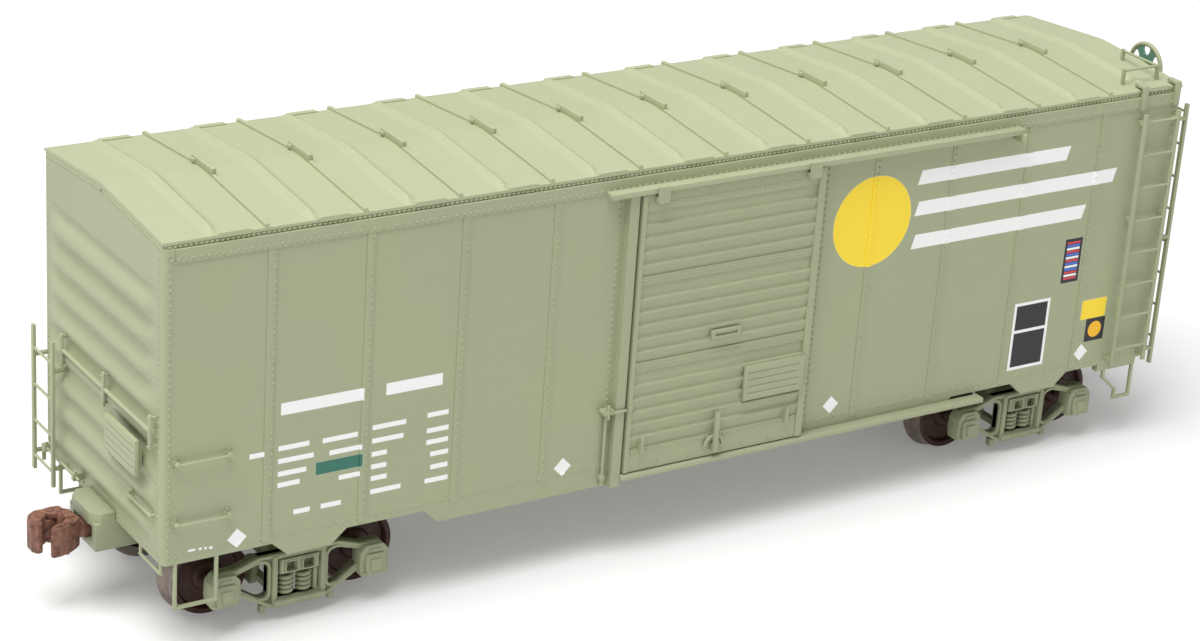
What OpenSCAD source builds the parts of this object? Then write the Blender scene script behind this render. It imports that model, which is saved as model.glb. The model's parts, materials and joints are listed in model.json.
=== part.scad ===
// Four-axle railroad boxcar, a scale model for 16.5 mm track.
// Flat riveted side sheets, corrugated ends and sliding doors, and a low peaked roof.
// The car runs along X with its B end, which has the brake wheel, at +X. The left side is at -Y.
// Z is zero at the bottom of the wheel flanges. The right side is the left side turned half round.

/* [Body] */
// Length over the corner posts
body_len = 145.8; // [120:0.1:176]
// Width over the side sheets
body_w = 32.7; // [31:0.1:40]
// Height of the straight bottom edge of the sides
sill_z = 11.7; // [11.7:0.1:14.1]
// Height of the top chord of the sides
eave_z = 49.8; // [41:0.1:60]
// Thickness of the side sheets
side_t = 1.0; // [0.8:0.05:1.3]
// Thickness of the end sheets
end_t = 1.2; // [0.9:0.05:1.5]
// Thickness of the roof sheet
roof_t = 0.9; // [0.6:0.05:1.2]
// Rise of the roof from eave to ridge
roof_rise = 1.3; // [0.8:0.1:3]
// Roof panels along the car
roof_panels = 12; // [8:1:15]
// Horizontal ribs on each end
end_ribs = 8; // [5:1:9]
// Depth of the end ribs
end_rib_d = 0.8; // [0.3:0.1:1]
// Depth of the sill's lowered stretches below the straight edge
sill_drop = 1.8; // [0.8:0.1:1.9]

/* [Door] */
// Width of the door leaf
door_w = 26.7; // [20:0.1:32]
// Width of the doorway in the side
doorway_w = 24.6; // [18:0.1:26]
// How far the door slides open
door_travel = 27.0; // [10:0.5:28]
// Thickness of the door leaf
door_t = 0.65; // [0.5:0.05:0.8]
// Depth of the door's ribs
door_rib_d = 0.32; // [0.1:0.02:0.4]
// Spacing of the door's ribs
door_rib_pitch = 1.72; // [1.4:0.02:1.9]

/* [Trucks] */
// Distance from a corner post to the truck centre
truck_inset = 18.4; // [17.5:0.1:22]
// Wheelbase of a truck
wheelbase = 19.24; // [18:0.1:22]
// Radius of the wheel tread
tread_r = 4.81; // [4.4:0.01:4.9]
// Depth of the wheel flange
flange_h = 0.65; // [0.4:0.01:0.8]
// Width of a wheel
wheel_w = 2.8; // [2.2:0.1:2.9]
// Distance between the backs of the wheels
back_to_back = 14.45; // [14:0.05:14.8]
// Radius of the axle between the wheels
axle_r = 1.18; // [0.8:0.02:1.4]
// Radius of the axle's journal
journal_r = 0.5; // [0.4:0.02:0.6]
// Distance between the sideframes' middle planes
frame_gap = 26.4; // [26:0.1:28]
// Radius of the truck screw
screw_r = 1.0; // [0.8:0.05:1.2]

/* [Couplers] */
// Height of the coupler's middle
coupler_z = 9.9; // [9.6:0.1:10.4]
// Height of the coupler head
coupler_h = 3.8; // [3:0.1:4]
// Distance from the pivot post to the knuckle's face
coupler_len = 12.0; // [11.5:0.1:13]
// Radius of the coupler's pivot post
post_r = 0.95; // [0.8:0.05:1]
// Radius of the knuckle pin
pin_r = 0.38; // [0.3:0.02:0.42]

/* [Fittings] */
// Rungs of a tall ladder
ladder_rungs = 8; // [6:1:9]
// Width of a ladder between the middles of its stiles
ladder_w = 5.7; // [4.5:0.1:6]
// Radius of rungs and grab irons
rod_r = 0.17; // [0.12:0.01:0.2]
// Radius of the brake wheel
brake_wheel_r = 3.3; // [2.4:0.1:3.5]
// Thickness of straps and ladder stiles
strap_t = 0.4; // [0.3:0.02:0.5]

/* [Clearances] */
// Radial clearance of a shaft in its hole
run_gap = 0.06; // [0.03:0.01:0.09]
// Clearance between sliding faces
slide_gap = 0.2; // [0.12:0.01:0.3]
// Gap between the centre plates of car and truck
plate_gap = 0.1; // [0.06:0.01:0.2]

/* [Hidden] */
$fn = 48;
half_l = body_len / 2;
half_w = body_w / 2;
side_x = half_l - end_t;
inner_y = half_w - side_t;
axle_z = tread_r + flange_h;
truck_x = half_l - truck_inset;
green = [0.63, 0.67, 0.55];
shade = [0.58, 0.62, 0.50];
rust = [0.45, 0.30, 0.24];
wheel_brown = [0.24, 0.16, 0.14];
steel = [0.55, 0.55, 0.56];
teal = [0.40, 0.58, 0.50];
// floor layers, from the underframe up
pan_z = sill_z + 0.1;
pan_t = 0.5;
weight_z = pan_z + pan_t;
weight_t = 1.3;
deck_z = weight_z + weight_t;
deck_t = 0.5;
floor_z = deck_z + deck_t;
// sides
band_h = 1.6;
band_d = 0.15;
seam_w = 1.1;
seam_d = 0.1;
seam_first = doorway_w / 2 + 11;
seam_last = 12.8;
seam_count = 4;
seam_pitch = (side_x + end_t - seam_last - seam_first) / (seam_count - 1);
low_z = sill_z - sill_drop;
deep_x = door_w / 2 + 26.2;
tab_w = 5.6;
tab_slope = 2.0;
plate_w = 6.8;
plate_drop = 1.0;
// doors
door_x = 0.95;
door_z = sill_z - 0.1;
door_top = eave_z - 2.05;
door_y = half_w + 0.3;
doorway_top = door_top - 1.2;
door_face = door_y + door_t;
post_w = 1.3;
post_gap = 0.35;
post_d = 1.05;
post_x = door_x - door_w / 2 - post_gap - post_w / 2;
track_end = door_x + door_w / 2 + door_travel + 2.6;
track_h = 0.7;
track_d = 1.6;
hanger_d = 0.4;
hanger_hw = 0.75;
// roof
roof_y = half_w - 0.3;
roof_pitch = body_len / roof_panels;
// trucks
bolster_top = sill_z - 2.8;
centre_plate_z = bolster_top + plate_gap;
bolster_bot = axle_z + 0.44;
frame_y = frame_gap / 2;
frame_t = 1.6;
wheel_back = back_to_back / 2;
wheel_face = wheel_back + wheel_w;
journal_end = frame_y + 0.2;
// couplers
post_x_pos = half_l - 2.9;
box_end = half_l + 2.6;
box_hw = 3.7;
box_in = 2.6;
shank_h = 1.8;
box_floor = coupler_z - shank_h / 2 - 0.15;
box_roof = coupler_z + shank_h / 2 + 0.15;
box_wall = 0.7;
striker_top = sill_z + 1.2;
knuckle_x = coupler_len - 3.2;
knuckle_y = -1.75;
ear_h = 0.7;
// end fittings
end_rod_x = half_l + 1.0;
ladder_off = 0.95;
end_ladder_x = half_l + 2.1;
wheel_pos = [half_l + 3.3, -5.6, eave_z - 0.2];

// ---- helpers ----

// outline in Y and Z, extruded along X
module along_x(x0, len) translate([x0, 0, 0]) rotate([90, 0, 90]) linear_extrude(len) children();
// outline in X and Z, extruded along Y
module along_y(y0, len) translate([0, y0 + len, 0]) rotate([90, 0, 0]) linear_extrude(len) children();
module half_turn() rotate([0, 0, 180]) children();
module box(a, b) translate(a) cube(b - a);
// a straight round bar from a to b
module bar(a, b, r) {
    d = b - a;
    l = norm(d);
    translate(a) rotate([0, acos(d[2] / l), atan2(d[1], d[0])]) cylinder(h = l, r = r);
}
module mirror_x() { children(); mirror([1, 0, 0]) children(); }
module mirror_y() { children(); mirror([0, 1, 0]) children(); }

// ---- body ----

// bottom edge of a side from the door middle out to one end, as points with rising x
function sill_half(plate) = concat(
    [[deep_x - 2, low_z], [deep_x, sill_z],
     [truck_x - tab_w / 2 - tab_slope, sill_z], [truck_x - tab_w / 2, low_z],
     [truck_x + tab_w / 2, low_z], [truck_x + tab_w / 2 + tab_slope, sill_z]],
    plate ? [[side_x - plate_w, sill_z], [side_x - plate_w, sill_z - plate_drop], [side_x, sill_z - plate_drop]]
        : [[side_x, sill_z]]);
function mirrored(p) = [for (i = [len(p) - 1:-1:0]) [-p[i][0], p[i][1]]];

module side() {
    sheet = concat([[-side_x, eave_z]], mirrored(sill_half(false)), sill_half(true), [[side_x, eave_z]]);
    dw = doorway_w / 2;
    difference() {
        union() {
            along_y(-half_w, side_t) polygon(sheet);
            // top chord and the laps over each seam
            box([-side_x, -half_w - band_d, eave_z - band_h], [side_x, -half_w + 0.1, eave_z]);
            for (s = [-1, 1]) for (i = [0:seam_count - 1]) {
                x = s * (seam_first + i * seam_pitch);
                box([x - seam_w / 2, -half_w - seam_d, sill_z + 0.4],
                    [x + seam_w / 2, -half_w + 0.1, eave_z - band_h + 0.1]);
            }
            // door stop post
            box([post_x - post_w / 2, -half_w - post_d, low_z], [post_x + post_w / 2, -half_w + 0.1, door_top]);
        }
        box([-dw, -half_w - 0.5, floor_z], [dw, -inner_y + 0.5, doorway_top]);
    }
}
module side_left() { color(green) side(); }
module side_right() { color(green) half_turn() side(); }

rib_len = body_w - 3.4;
rib_low = sill_z + 4.0;
rib_high = eave_z - 7.8;
rib_pitch = (rib_high - rib_low) / (end_ribs - 1);
rib_strip = 0.46;
rib_half_h = (rib_pitch - rib_strip) / 2;
rib_r = (rib_half_h * rib_half_h + end_rib_d * end_rib_d) / (2 * end_rib_d);
rib_taper = 5.0;
// a rib is a slice of a long spindle, so it fades out towards the corner posts
module end_rib(z) {
    tip_r = rib_r - end_rib_d - 0.05;
    intersection() {
        translate([half_l + end_rib_d - rib_r, 0, z]) rotate([90, 0, 0]) rotate_extrude()
            polygon([[0, -rib_len / 2], [tip_r, -rib_len / 2], [rib_r, rib_taper - rib_len / 2],
                [rib_r, rib_len / 2 - rib_taper], [tip_r, rib_len / 2], [0, rib_len / 2]]);
        box([half_l - 0.3, -half_w, z - rib_r - 1], [half_l + 2, half_w, z + rib_r + 1]);
    }
}
module end_wall() {
    along_x(side_x, end_t) polygon([[-half_w, sill_z], [half_w, sill_z], [half_w, eave_z],
        [roof_y, eave_z], [0, eave_z + roof_rise - 0.1], [-roof_y, eave_z], [-half_w, eave_z]]);
    for (i = [0:end_ribs - 1]) end_rib(rib_low + i * rib_pitch);
}
module end_a() { color(green) half_turn() end_wall(); }
module end_b() { color(green) end_wall(); }

// height of the roof's top at a distance y from the middle
function roof_z(y) = eave_z + roof_t + roof_rise * (1 - abs(y) / roof_y);
// the roof's outline raised by h above its sheet
module roof_outline(h, inset) {
    y = roof_y - inset;
    drop = inset * roof_rise / roof_y;
    polygon([[-y, eave_z + drop + 0.05], [0, eave_z + roof_rise], [y, eave_z + drop + 0.05],
        [y, eave_z + roof_t + drop + h], [0, eave_z + roof_t + roof_rise + h],
        [-y, eave_z + roof_t + drop + h]]);
}
cap_w = 0.55;
cap_h = 0.3;
crease_w = 1.3;
crease_h = 0.1;
tab_len = 4.2;
tab_top = eave_z + roof_t + 0.25;
saddle_len = 5.4;
saddle_w = 0.45;
saddle_h = 0.55;
// flat-topped saddle over the ridge on a seam cap, with a foot at each end
module roof_saddle(x) {
    y = saddle_len / 2;
    top = roof_z(0) + saddle_h;
    along_x(x - saddle_w / 2, saddle_w) polygon([[-y, roof_z(y) - 0.1], [y, roof_z(y) - 0.1], [y, top],
        [-y, top]]);
    for (s = [-1, 1]) box([x - saddle_w / 2, s * (y - 0.2) - 0.2, top - 0.25],
        [x + 0.9, s * (y - 0.2) + 0.2, top]);
}
module roof() {
    color(green) {
        along_x(-half_l, body_len) roof_outline(0, 0);
        for (i = [1:roof_panels - 1]) {
            x = -half_l + i * roof_pitch;
            along_x(x - cap_w / 2, cap_w) roof_outline(cap_h, 0.5);
            roof_saddle(x);
        }
        for (i = [0:roof_panels - 1]) {
            x = -half_l + (i + 0.5) * roof_pitch;
            along_x(x - crease_w / 2, crease_w) roof_outline(crease_h, 1.4);
            // raised tabs along both eaves
            for (s = [-1, 1]) translate([x + 0.9 - tab_len / 2, s * (roof_y - 0.23) - 0.35, eave_z + 0.3])
                cube([tab_len, 0.7, tab_top - eave_z - 0.3]);
        }
    }
}

module floor_deck() {
    color([0.52, 0.50, 0.42]) box([-side_x, -inner_y, deck_z], [side_x, inner_y, floor_z]);
}
module steel_weight() {
    color(steel) box([-side_x + 2, -inner_y + 2, weight_z], [side_x - 2, inner_y - 2, deck_z]);
}

// ---- underframe ----

sill_hw = 1.9;
sill_bot = sill_z - 2.2;
centre_plate_r = 3;
screw_fit = 0.02;
screw_depth = 1.4;
box_start = post_x_pos - 2.7;
bearer_x = [for (i = [-2:2]) i * truck_x / 3.6];
bearer_w = 1.0;
// arm of a bolster or bearer, from the centre sill out to the side
module cross_arm(width, foot, drop, tip) {
    along_x(-width / 2, width) polygon([[sill_hw, sill_bot + drop], [foot, sill_bot + drop],
        [inner_y, pan_z - tip], [inner_y, pan_z], [sill_hw, pan_z]]);
}
module floor_pan() {
    color(green) {
        box([-side_x, -inner_y, pan_z], [side_x, inner_y, pan_z + pan_t]);
        // stringers between the bearers
        for (y = [-9.2, 9.2]) for (i = [0:len(bearer_x) - 2])
            box([bearer_x[i] + bearer_w / 2, y - 0.35, pan_z - 0.6],
                [bearer_x[i + 1] - bearer_w / 2, y + 0.35, pan_z + 0.1]);
    }
}
module centre_sill() {
    color(green) difference() {
        box([-box_start, -sill_hw, sill_bot], [box_start, sill_hw, pan_z]);
        screw_holes(sill_bot - 1, 1 + screw_depth);
    }
}
module screw_holes(z, h) for (s = [-1, 1]) translate([s * truck_x, 0, z]) cylinder(h = h, r = screw_r + screw_fit);
module centre_plates() {
    color(green) difference() {
        for (s = [-1, 1]) translate([s * truck_x, 0, centre_plate_z])
            cylinder(h = sill_bot - centre_plate_z, r = centre_plate_r);
        screw_holes(centre_plate_z - 1, 3);
    }
}
module bolster_arms() {
    color(green) mirror_x() mirror_y() translate([truck_x, 0, 0]) cross_arm(4.4, 4, 0, 0.9);
}
module cross_bearers() {
    color(green) mirror_y() for (x = bearer_x) translate([x, 0, 0]) cross_arm(bearer_w, 3, 0.1, 0.7);
}
module truck_screw() {
    head_z = bolster_bot - plate_gap;
    translate([truck_x, 0, head_z - 0.5]) cylinder(h = 0.5, r = 1.9);
    translate([truck_x, 0, head_z - 0.1]) cylinder(h = sill_bot + screw_depth - head_z + 0.1, r = screw_r);
}
module truck_screws() { color(steel) { truck_screw(); half_turn() truck_screw(); } }

// ---- door tracks ----

module upper_track() {
    z = door_top + slide_gap;
    back = -half_w - band_d;
    box([post_x - 3.6, -half_w - track_d, z], [track_end + 1.4, back, z + track_h]);
    box([track_end + 0.9, -half_w - track_d - 0.5, z - 1.1], [track_end + 1.4, back, z + 0.1]);
}
module lower_track() {
    z = door_z - slide_gap;
    box([post_x + post_w / 2, -half_w - track_d, z - track_h], [track_end, -half_w, z]);
}
module upper_tracks() { color(green) { upper_track(); half_turn() upper_track(); } }
module lower_tracks() { color(green) { lower_track(); half_turn() lower_track(); } }

// ---- doors ----

door_l = door_x - door_w / 2;
door_r = door_x + door_w / 2;
door_bands = [[door_z, door_z + 3.0], [door_z + 13.3, door_z + 14.5], [door_z + 24.6, door_z + 25.7],
    [door_top - 2.1, door_top]];
rib_panels = [[door_z + 11.7, 5], [door_z + 23.0, 5], [door_top - 3.6, 4]];
module door_ribs(top, count) {
    p = door_rib_pitch;
    for (k = [0:count - 1]) {
        z = top - k * p;
        translate([door_l + 0.6, -door_face, z]) rotate([90, 0, 90]) linear_extrude(door_w - 1.6)
            polygon([[0.1, 0], [-door_rib_d, -0.25], [-door_rib_d, -0.45], [0, 0.1 - p], [0.1, 0.1 - p]]);
    }
}
module hanger(x) {
    y = -half_w - track_d - 0.15;
    box([x - hanger_hw, y - hanger_d, door_top - 0.9], [x + hanger_hw, y, door_top + slide_gap + track_h + 0.25]);
    box([x - hanger_hw, y - 0.1, door_top - 0.9], [x + hanger_hw, -door_face + 0.1, door_top - 0.25]);
}
module door() {
    box([door_l, -door_face, door_z], [door_r, -door_y, door_top]);
    for (b = door_bands) box([door_l, -door_face - 0.2, b[0]], [door_r, -door_face + 0.1, b[1]]);
    box([door_l, -door_face - 0.35, door_z], [door_l + 0.6, -door_face + 0.1, door_top]);
    box([door_r - 1.0, -door_face - 0.35, door_z], [door_r, -door_face + 0.1, door_top]);
    for (q = rib_panels) door_ribs(q[0], q[1]);
    hanger(door_l + 2.4);
    hanger(door_r - 2.2);
    for (x = [door_l + 2.2, door_r - 2.8]) box([x - 0.2, -door_face - 0.8, door_z + 2.4],
        [x + 0.2, -door_face + 0.1, door_z + 4.6]);
}
module door_left() { color(green) door(); }
module door_right() { color(green) half_turn() door(); }

fit_y = door_face + door_rib_d + 0.03;
board = [9.0, 0.5, 4.6];
lever_x = door_x - 0.3;
lever_z = door_z + 1.4;
arc_r = 1.5;
module door_fittings() {
    // pull handle: a frame on two feet
    hz = door_z + 16.6;
    difference() {
        box([door_x - 2.1, -fit_y - 0.5, hz - 0.55], [door_x + 2.1, -fit_y, hz + 0.55]);
        box([door_x - 1.7, -fit_y - 1, hz - 0.2], [door_x + 1.7, -fit_y - 0.25, hz + 0.2]);
    }
    // planked placard board in a frame
    bx = door_r - 0.9 - board[0];
    bz = door_z + 6.8;
    difference() {
        box([bx, -fit_y - board[1], bz], [bx + board[0], -fit_y, bz + board[2]]);
        for (k = [1:4]) box([bx + 0.4, -fit_y - board[1] - 0.1, bz + k * 0.92 - 0.05],
            [bx + board[0] - 0.9, -fit_y - board[1] + 0.08, bz + k * 0.92 + 0.05]);
    }
    // roller lift lever with its half-round guide
    box([lever_x - 0.3, -fit_y - 0.75, lever_z - 0.7], [lever_x + 0.3, -fit_y - 0.35, lever_z + 4.6]);
    box([lever_x - 0.3, -fit_y - 0.4, lever_z - 0.7], [lever_x + 0.3, -fit_y, lever_z + 0.3]);
    intersection() {
        translate([lever_x, -fit_y - 0.3, lever_z]) rotate([-90, 0, 0]) difference() {
            cylinder(h = 0.3, r = arc_r);
            translate([0, 0, -1]) cylinder(h = 2, r = arc_r - 0.35);
        }
        box([lever_x - 3, -fit_y - 1, lever_z - 0.05], [lever_x + 3, -fit_y + 1, lever_z + 3]);
    }
}
module door_fittings_left() { color(shade) door_fittings(); }
module door_fittings_right() { color(shade) half_turn() door_fittings(); }

// ---- ladders, grab irons and steps ----

// a ladder in the X-Z plane: stiles at x and x + ladder_w, its back at y = 0, rungs between
module ladder(z0, z1, rungs, low, high) {
    pitch = (high - low) / (rungs - 1);
    for (x = [0, ladder_w]) box([x - 0.28, -strap_t, z0], [x + 0.28, 0, z1]);
    for (i = [0:rungs - 1]) bar([-0.1, -strap_t / 2, low + i * pitch],
        [ladder_w + 0.1, -strap_t / 2, low + i * pitch], rod_r);
}
// middle of the flat strip above rib number i
function valley_z(i) = rib_low + (i + 0.5) * rib_pitch;
// where a fitting seats on the crests of the ribs
crest_x = half_l + end_rib_d + 0.02;
lug_h = 0.18;
tall_low = sill_z + 2.4;
tall_high = eave_z - 3.2;
module side_ladder(z1, rungs, low, high) {
    translate([side_x - plate_w + 1.3, -half_w - ladder_off, 0]) {
        ladder(sill_z + 0.1, z1, rungs, low, high);
        for (x = [0, ladder_w]) for (z = [sill_z + 0.6, (low + high) / 2 + 2.3, z1 - 1.6])
            box([x - 0.28, -0.1, z], [x + 0.28, ladder_off, z + 0.6]);
    }
}
module end_ladder(z1, rungs, low, high, z0, lugs) {
    translate([end_ladder_x - strap_t, -half_w + 0.4, 0]) rotate([0, 0, 90]) {
        ladder(z0, z1, rungs, low, high);
        for (x = [0, ladder_w]) for (z = lugs)
            box([x - 0.28, -0.1, z - lug_h], [x + 0.28, end_ladder_x - strap_t - half_l, z + lug_h]);
    }
}
// a strap bent over the eave at the head of a ladder stile
module roof_strap(x) {
    y = half_w + band_d;
    inner = roof_y - 1.1;
    top = tab_top + 0.05 + strap_t;
    box([x - 0.4, -y - strap_t, eave_z - 1.7], [x + 0.4, -y, top]);
    box([x - 0.4, -y - 0.1, top - strap_t], [x + 0.4, -inner, top]);
}
module ladders_b() {
    color(shade) {
        side_ladder(eave_z - 2.1, ladder_rungs, tall_low, tall_high);
        for (x = [0, ladder_w]) roof_strap(side_x - plate_w + 1.3 + x);
        end_ladder(eave_z - 2.1, ladder_rungs, tall_low, tall_high, sill_z - 1.5,
            [sill_z + 0.8, valley_z(floor(end_ribs / 2) - 1), eave_z - 4.1]);
    }
}
short_top = sill_z + 17.2;
module ladders_a() {
    color(shade) half_turn() {
        side_ladder(short_top, 4, tall_low, short_top - 2.9);
        end_ladder(short_top, 4, sill_z + 0.3, short_top - 2.9, sill_z - 1.5,
            [sill_z + 0.8, valley_z(floor((short_top - rib_low) / rib_pitch) - 1)]);
    }
}

// a grab iron along X that stands off the left side
grab_w = 6.4;
grab_off = 0.85;
module side_grab(x, z) {
    for (k = [0, grab_w]) box([x + k - 0.22, -half_w - grab_off - 0.22, z - 0.22],
        [x + k + 0.22, -half_w, z + 0.22]);
    bar([x, -half_w - grab_off, z], [x + grab_w, -half_w - grab_off, z], rod_r);
}
module grab_pair() for (z = [sill_z + 5.2, sill_z + 12.7]) side_grab(-side_x + 0.2, z);
module side_grab_irons() { color(shade) { grab_pair(); half_turn() grab_pair(); } }

// rails and handholds of one end, drawn for the B end with its corner grab at +Y
rail_z = sill_z + 16.4;
module end_rails() {
    foot_y = half_w - 1.25;
    grab_y = half_w - 1.55;
    low_y = half_w - 0.95;
    // cross-over rail on three straps, the outer one with a foot beside the ribs
    for (y = [-9.4, 2.6, foot_y])
        box([crest_x, y - 0.3, rail_z - 2.1], [end_rod_x + 0.3, y + 0.3, rail_z + 2.1]);
    bar([end_rod_x, -9.6, rail_z], [end_rod_x, foot_y + 0.2, rail_z], rod_r + 0.05);
    box([half_l, foot_y - 0.3, rail_z - 0.4], [end_rod_x, foot_y + 0.3, rail_z + 0.4]);
    // grab iron low on the end
    for (y = [grab_y - grab_w, grab_y])
        box([half_l, y - 0.22, valley_z(0) - lug_h], [end_rod_x, y + 0.22, valley_z(0) + lug_h]);
    bar([end_rod_x - 0.2, grab_y - grab_w, valley_z(0)], [end_rod_x - 0.2, grab_y, valley_z(0)], rod_r - 0.01);
    // handhold below the end sill
    for (y = [low_y - 5.4, low_y]) box([half_l - 0.4, y - 0.22, sill_z - 1.5], [half_l, y + 0.22, sill_z]);
    box([half_l - 0.4, low_y - 5.4, sill_z - 1.5], [half_l, low_y, sill_z - 1.1]);
}
module end_rails_a() { color(shade) half_turn() end_rails(); }
module end_rails_b() { color(shade) end_rails(); }

// sill steps hang from the bottom edge of the sides
step_z = sill_z - 5.8;
module corner_step(x, kink, top) {
    y = -half_w - 0.05;
    box([x + 5.1, y, step_z], [x + 5.5, y + 0.5, top]);
    box([x + kink, y, step_z], [x + 5.5, y + 0.5, step_z + 0.4]);
    if (kink > 0) {
        along_y(y, 0.5) polygon([[x, top], [x, top - 1.2], [x + kink, step_z + 1.4], [x + kink, step_z],
            [x + kink + 0.4, step_z], [x + kink + 0.4, step_z + 1.5], [x + 0.4, top - 1.1], [x + 0.4, top]]);
    } else box([x, y, step_z], [x + 0.4, y + 0.5, top]);
}
module steps_of_side() {
    corner_step(-side_x + 0.2, 0, sill_z);
    corner_step(side_x - 5.6, 2.5, sill_z - plate_drop);
}
module sill_steps() { color(shade) { steps_of_side(); half_turn() steps_of_side(); } }

tack = [0.5, 8.2, 4.4];
tack_x = half_l + 1.5;
module tack_board() {
    difference() {
        box([tack_x, 4.9, rail_z - 6.2], [tack_x + tack[0], 4.9 + tack[1], rail_z - 6.2 + tack[2]]);
        for (k = [1:4]) box([tack_x + tack[0] - 0.08, 5.2, rail_z - 6.25 + k * 0.88],
            [tack_x + 2, 4.6 + tack[1], rail_z - 6.15 + k * 0.88]);
    }
    for (y = [5.6, 12.0]) box([crest_x, y, rail_z - 5.6], [tack_x + 0.05, y + 0.5, rail_z - 3.2]);
    // upright strip beside the board
    box([crest_x, 4.0, rail_z - 7.4], [crest_x + 0.4, 4.4, rail_z - 2.4]);
}
module tack_boards() { color(shade) { tack_board(); half_turn() tack_board(); } }

module roof_grab() {
    z1 = eave_z + roof_t + 2.1;
    xs = [half_l - 8.2, half_l - 2.3];
    ys = [-half_w + 2.6, -half_w + 9.4];
    color(shade) {
        for (p = [[xs[0], ys[0]], [xs[1], ys[0]], [xs[1], ys[1]]])
            box([p[0] - 0.2, p[1] - 0.2, roof_z(p[1]) + 0.03], [p[0] + 0.2, p[1] + 0.2, z1 + 0.2]);
        bar([xs[0], ys[0], z1], [xs[1], ys[0], z1], rod_r);
        bar([xs[1], ys[0], z1], [xs[1], ys[1], z1], rod_r);
    }
}

// ---- hand brake ----

module brake_wheel() {
    r = brake_wheel_r;
    rim = 0.26;
    color(teal) translate(wheel_pos) rotate([0, 90, 0]) {
        rotate_extrude() translate([r - rim, 0]) circle(rim);
        cylinder(h = 0.7, r = 0.75, center = true);
        translate([0, 0, -1.5]) cylinder(h = 1.6, r = 0.3);
        for (a = [0:60:300]) rotate([0, 0, a]) translate([0.4, -0.2, -0.1]) cube([r - rim - 0.4, 0.4, 0.2]);
    }
}
housing = [2.0, 4.4];
brake_rod_x = half_l + 1.6;
housing_z = wheel_pos[2] - 3.4;
module brake_housing() {
    y = wheel_pos[1];
    color(shade) {
        difference() {
            union() {
                box([half_l, y - housing[1] / 2, housing_z], [half_l + housing[0], y + housing[1] / 2, eave_z - 0.2]);
                translate([half_l + 0.6, y, wheel_pos[2] - 0.6]) rotate([0, 90, 0])
                    cylinder(h = housing[0] - 0.4, r = 1.9);
            }
            translate([half_l + 1.4, y, wheel_pos[2]]) rotate([0, 90, 0]) cylinder(h = 2, r = 0.35);
        }
        // brake chain rod down to the underframe, on two guides
        bar([brake_rod_x, y - 1.6, sill_z - 0.4], [brake_rod_x, y - 1.6, housing_z + 0.2], rod_r + 0.04);
        for (z = [valley_z(0), valley_z(end_ribs - 4)])
            box([half_l, y - 2.0, z - lug_h], [brake_rod_x + 0.3, y - 1.2, z + lug_h]);
    }
}
platform_z = rail_z + 6.5;
module brake_platform() {
    color(shade) {
        difference() {
            box([half_l + 1.1, -8.6, platform_z], [half_l + 3.4, 1.4, platform_z + 0.35]);
            for (i = [0:3]) box([half_l + 1.5, -5.6 + i * 1.5, platform_z - 1],
                [half_l + 3.0, -4.9 + i * 1.5, platform_z + 1]);
            // notch around the brake rod
            box([half_l, wheel_pos[1] - 2.1, platform_z - 1], [brake_rod_x + 0.5, wheel_pos[1] - 1.1, platform_z + 1]);
        }
        for (y = [-8.4, 0.7]) along_y(y, 0.5) polygon([[crest_x, platform_z - 2.4], [crest_x + 0.4, platform_z - 2.4],
            [half_l + 3.0, platform_z + 0.1], [crest_x, platform_z + 0.1]]);
    }
}

// ---- brake gear below the floor ----

module air_reservoir() {
    z = pan_z - 2.6;
    color(green) {
        translate([-14, 6.0, z]) rotate([0, 90, 0]) cylinder(h = 11, r = 2.0);
        for (x = [-14.5, -3.3]) translate([x, 6.0, z]) rotate([0, 90, 0]) cylinder(h = 0.8, r = 1.6);
        for (x = [-12.2, -6.2]) box([x, 5.4, z + 1.0], [x + 0.8, 6.6, pan_z]);
    }
}
lever_x1 = 15.6;
module brake_cylinder() {
    z = pan_z - 2.9;
    color(green) {
        translate([6, -5.2, z]) rotate([0, 90, 0]) cylinder(h = 6.2, r = 1.7);
        translate([11.8, -5.2, z]) rotate([0, 90, 0]) cylinder(h = 0.8, r = 2.0);
        translate([12.4, -5.2, z]) rotate([0, 90, 0]) cylinder(h = lever_x1 - 12.5, r = 0.5);
        box([7.0, -5.8, z + 1.0], [8.0, -4.6, pan_z]);
        box([10.2, -5.8, z + 1.0], [11.2, -4.6, pan_z]);
    }
}
module control_valve() {
    z = pan_z - 3.0;
    color(green) {
        box([6.4, 4.2, z], [10.4, 7.2, z + 2.2]);
        box([7.2, 4.8, z + 2.0], [9.6, 6.6, pan_z]);
        translate([8.4, 7.1, z + 1.1]) rotate([-90, 0, 0]) cylinder(h = 1.0, r = 0.8);
        translate([8.4, 4.3, z + 1.1]) rotate([90, 0, 0]) cylinder(h = 0.8, r = 0.8);
    }
}
lever_z0 = sill_bot - 0.9;
rod_z = lever_z0 + 0.17;
module brake_levers() {
    pull_r = rod_r + 0.05;
    color(green) {
        // two levers joined by a rod, with pull rods towards the trucks
        box([lever_x1, -8.2, lever_z0], [lever_x1 + 0.8, 0.6, lever_z0 + 0.35]);
        box([-1.4, -7.4, lever_z0], [-0.6, 3.4, lever_z0 + 0.35]);
        bar([-1.0, -1.2, rod_z], [16.0, -1.2, rod_z], pull_r);
        bar([16.0, 0.0, rod_z], [truck_x - 18.5, 0.0, rod_z], pull_r);
        bar([-1.0, 2.9, rod_z], [-truck_x + 18.5, 2.9, rod_z], pull_r);
        // fulcrums and hangers
        for (x = [-1.0, 16.0, truck_x - 19]) box([x - 0.35, -0.35, lever_z0 + 0.1], [x + 0.35, 0.35, sill_bot]);
        box([-truck_x + 19, 2.55, lever_z0 + 0.1], [-truck_x + 19.7, 3.25, pan_z]);
    }
}

// ---- couplers ----

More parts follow.
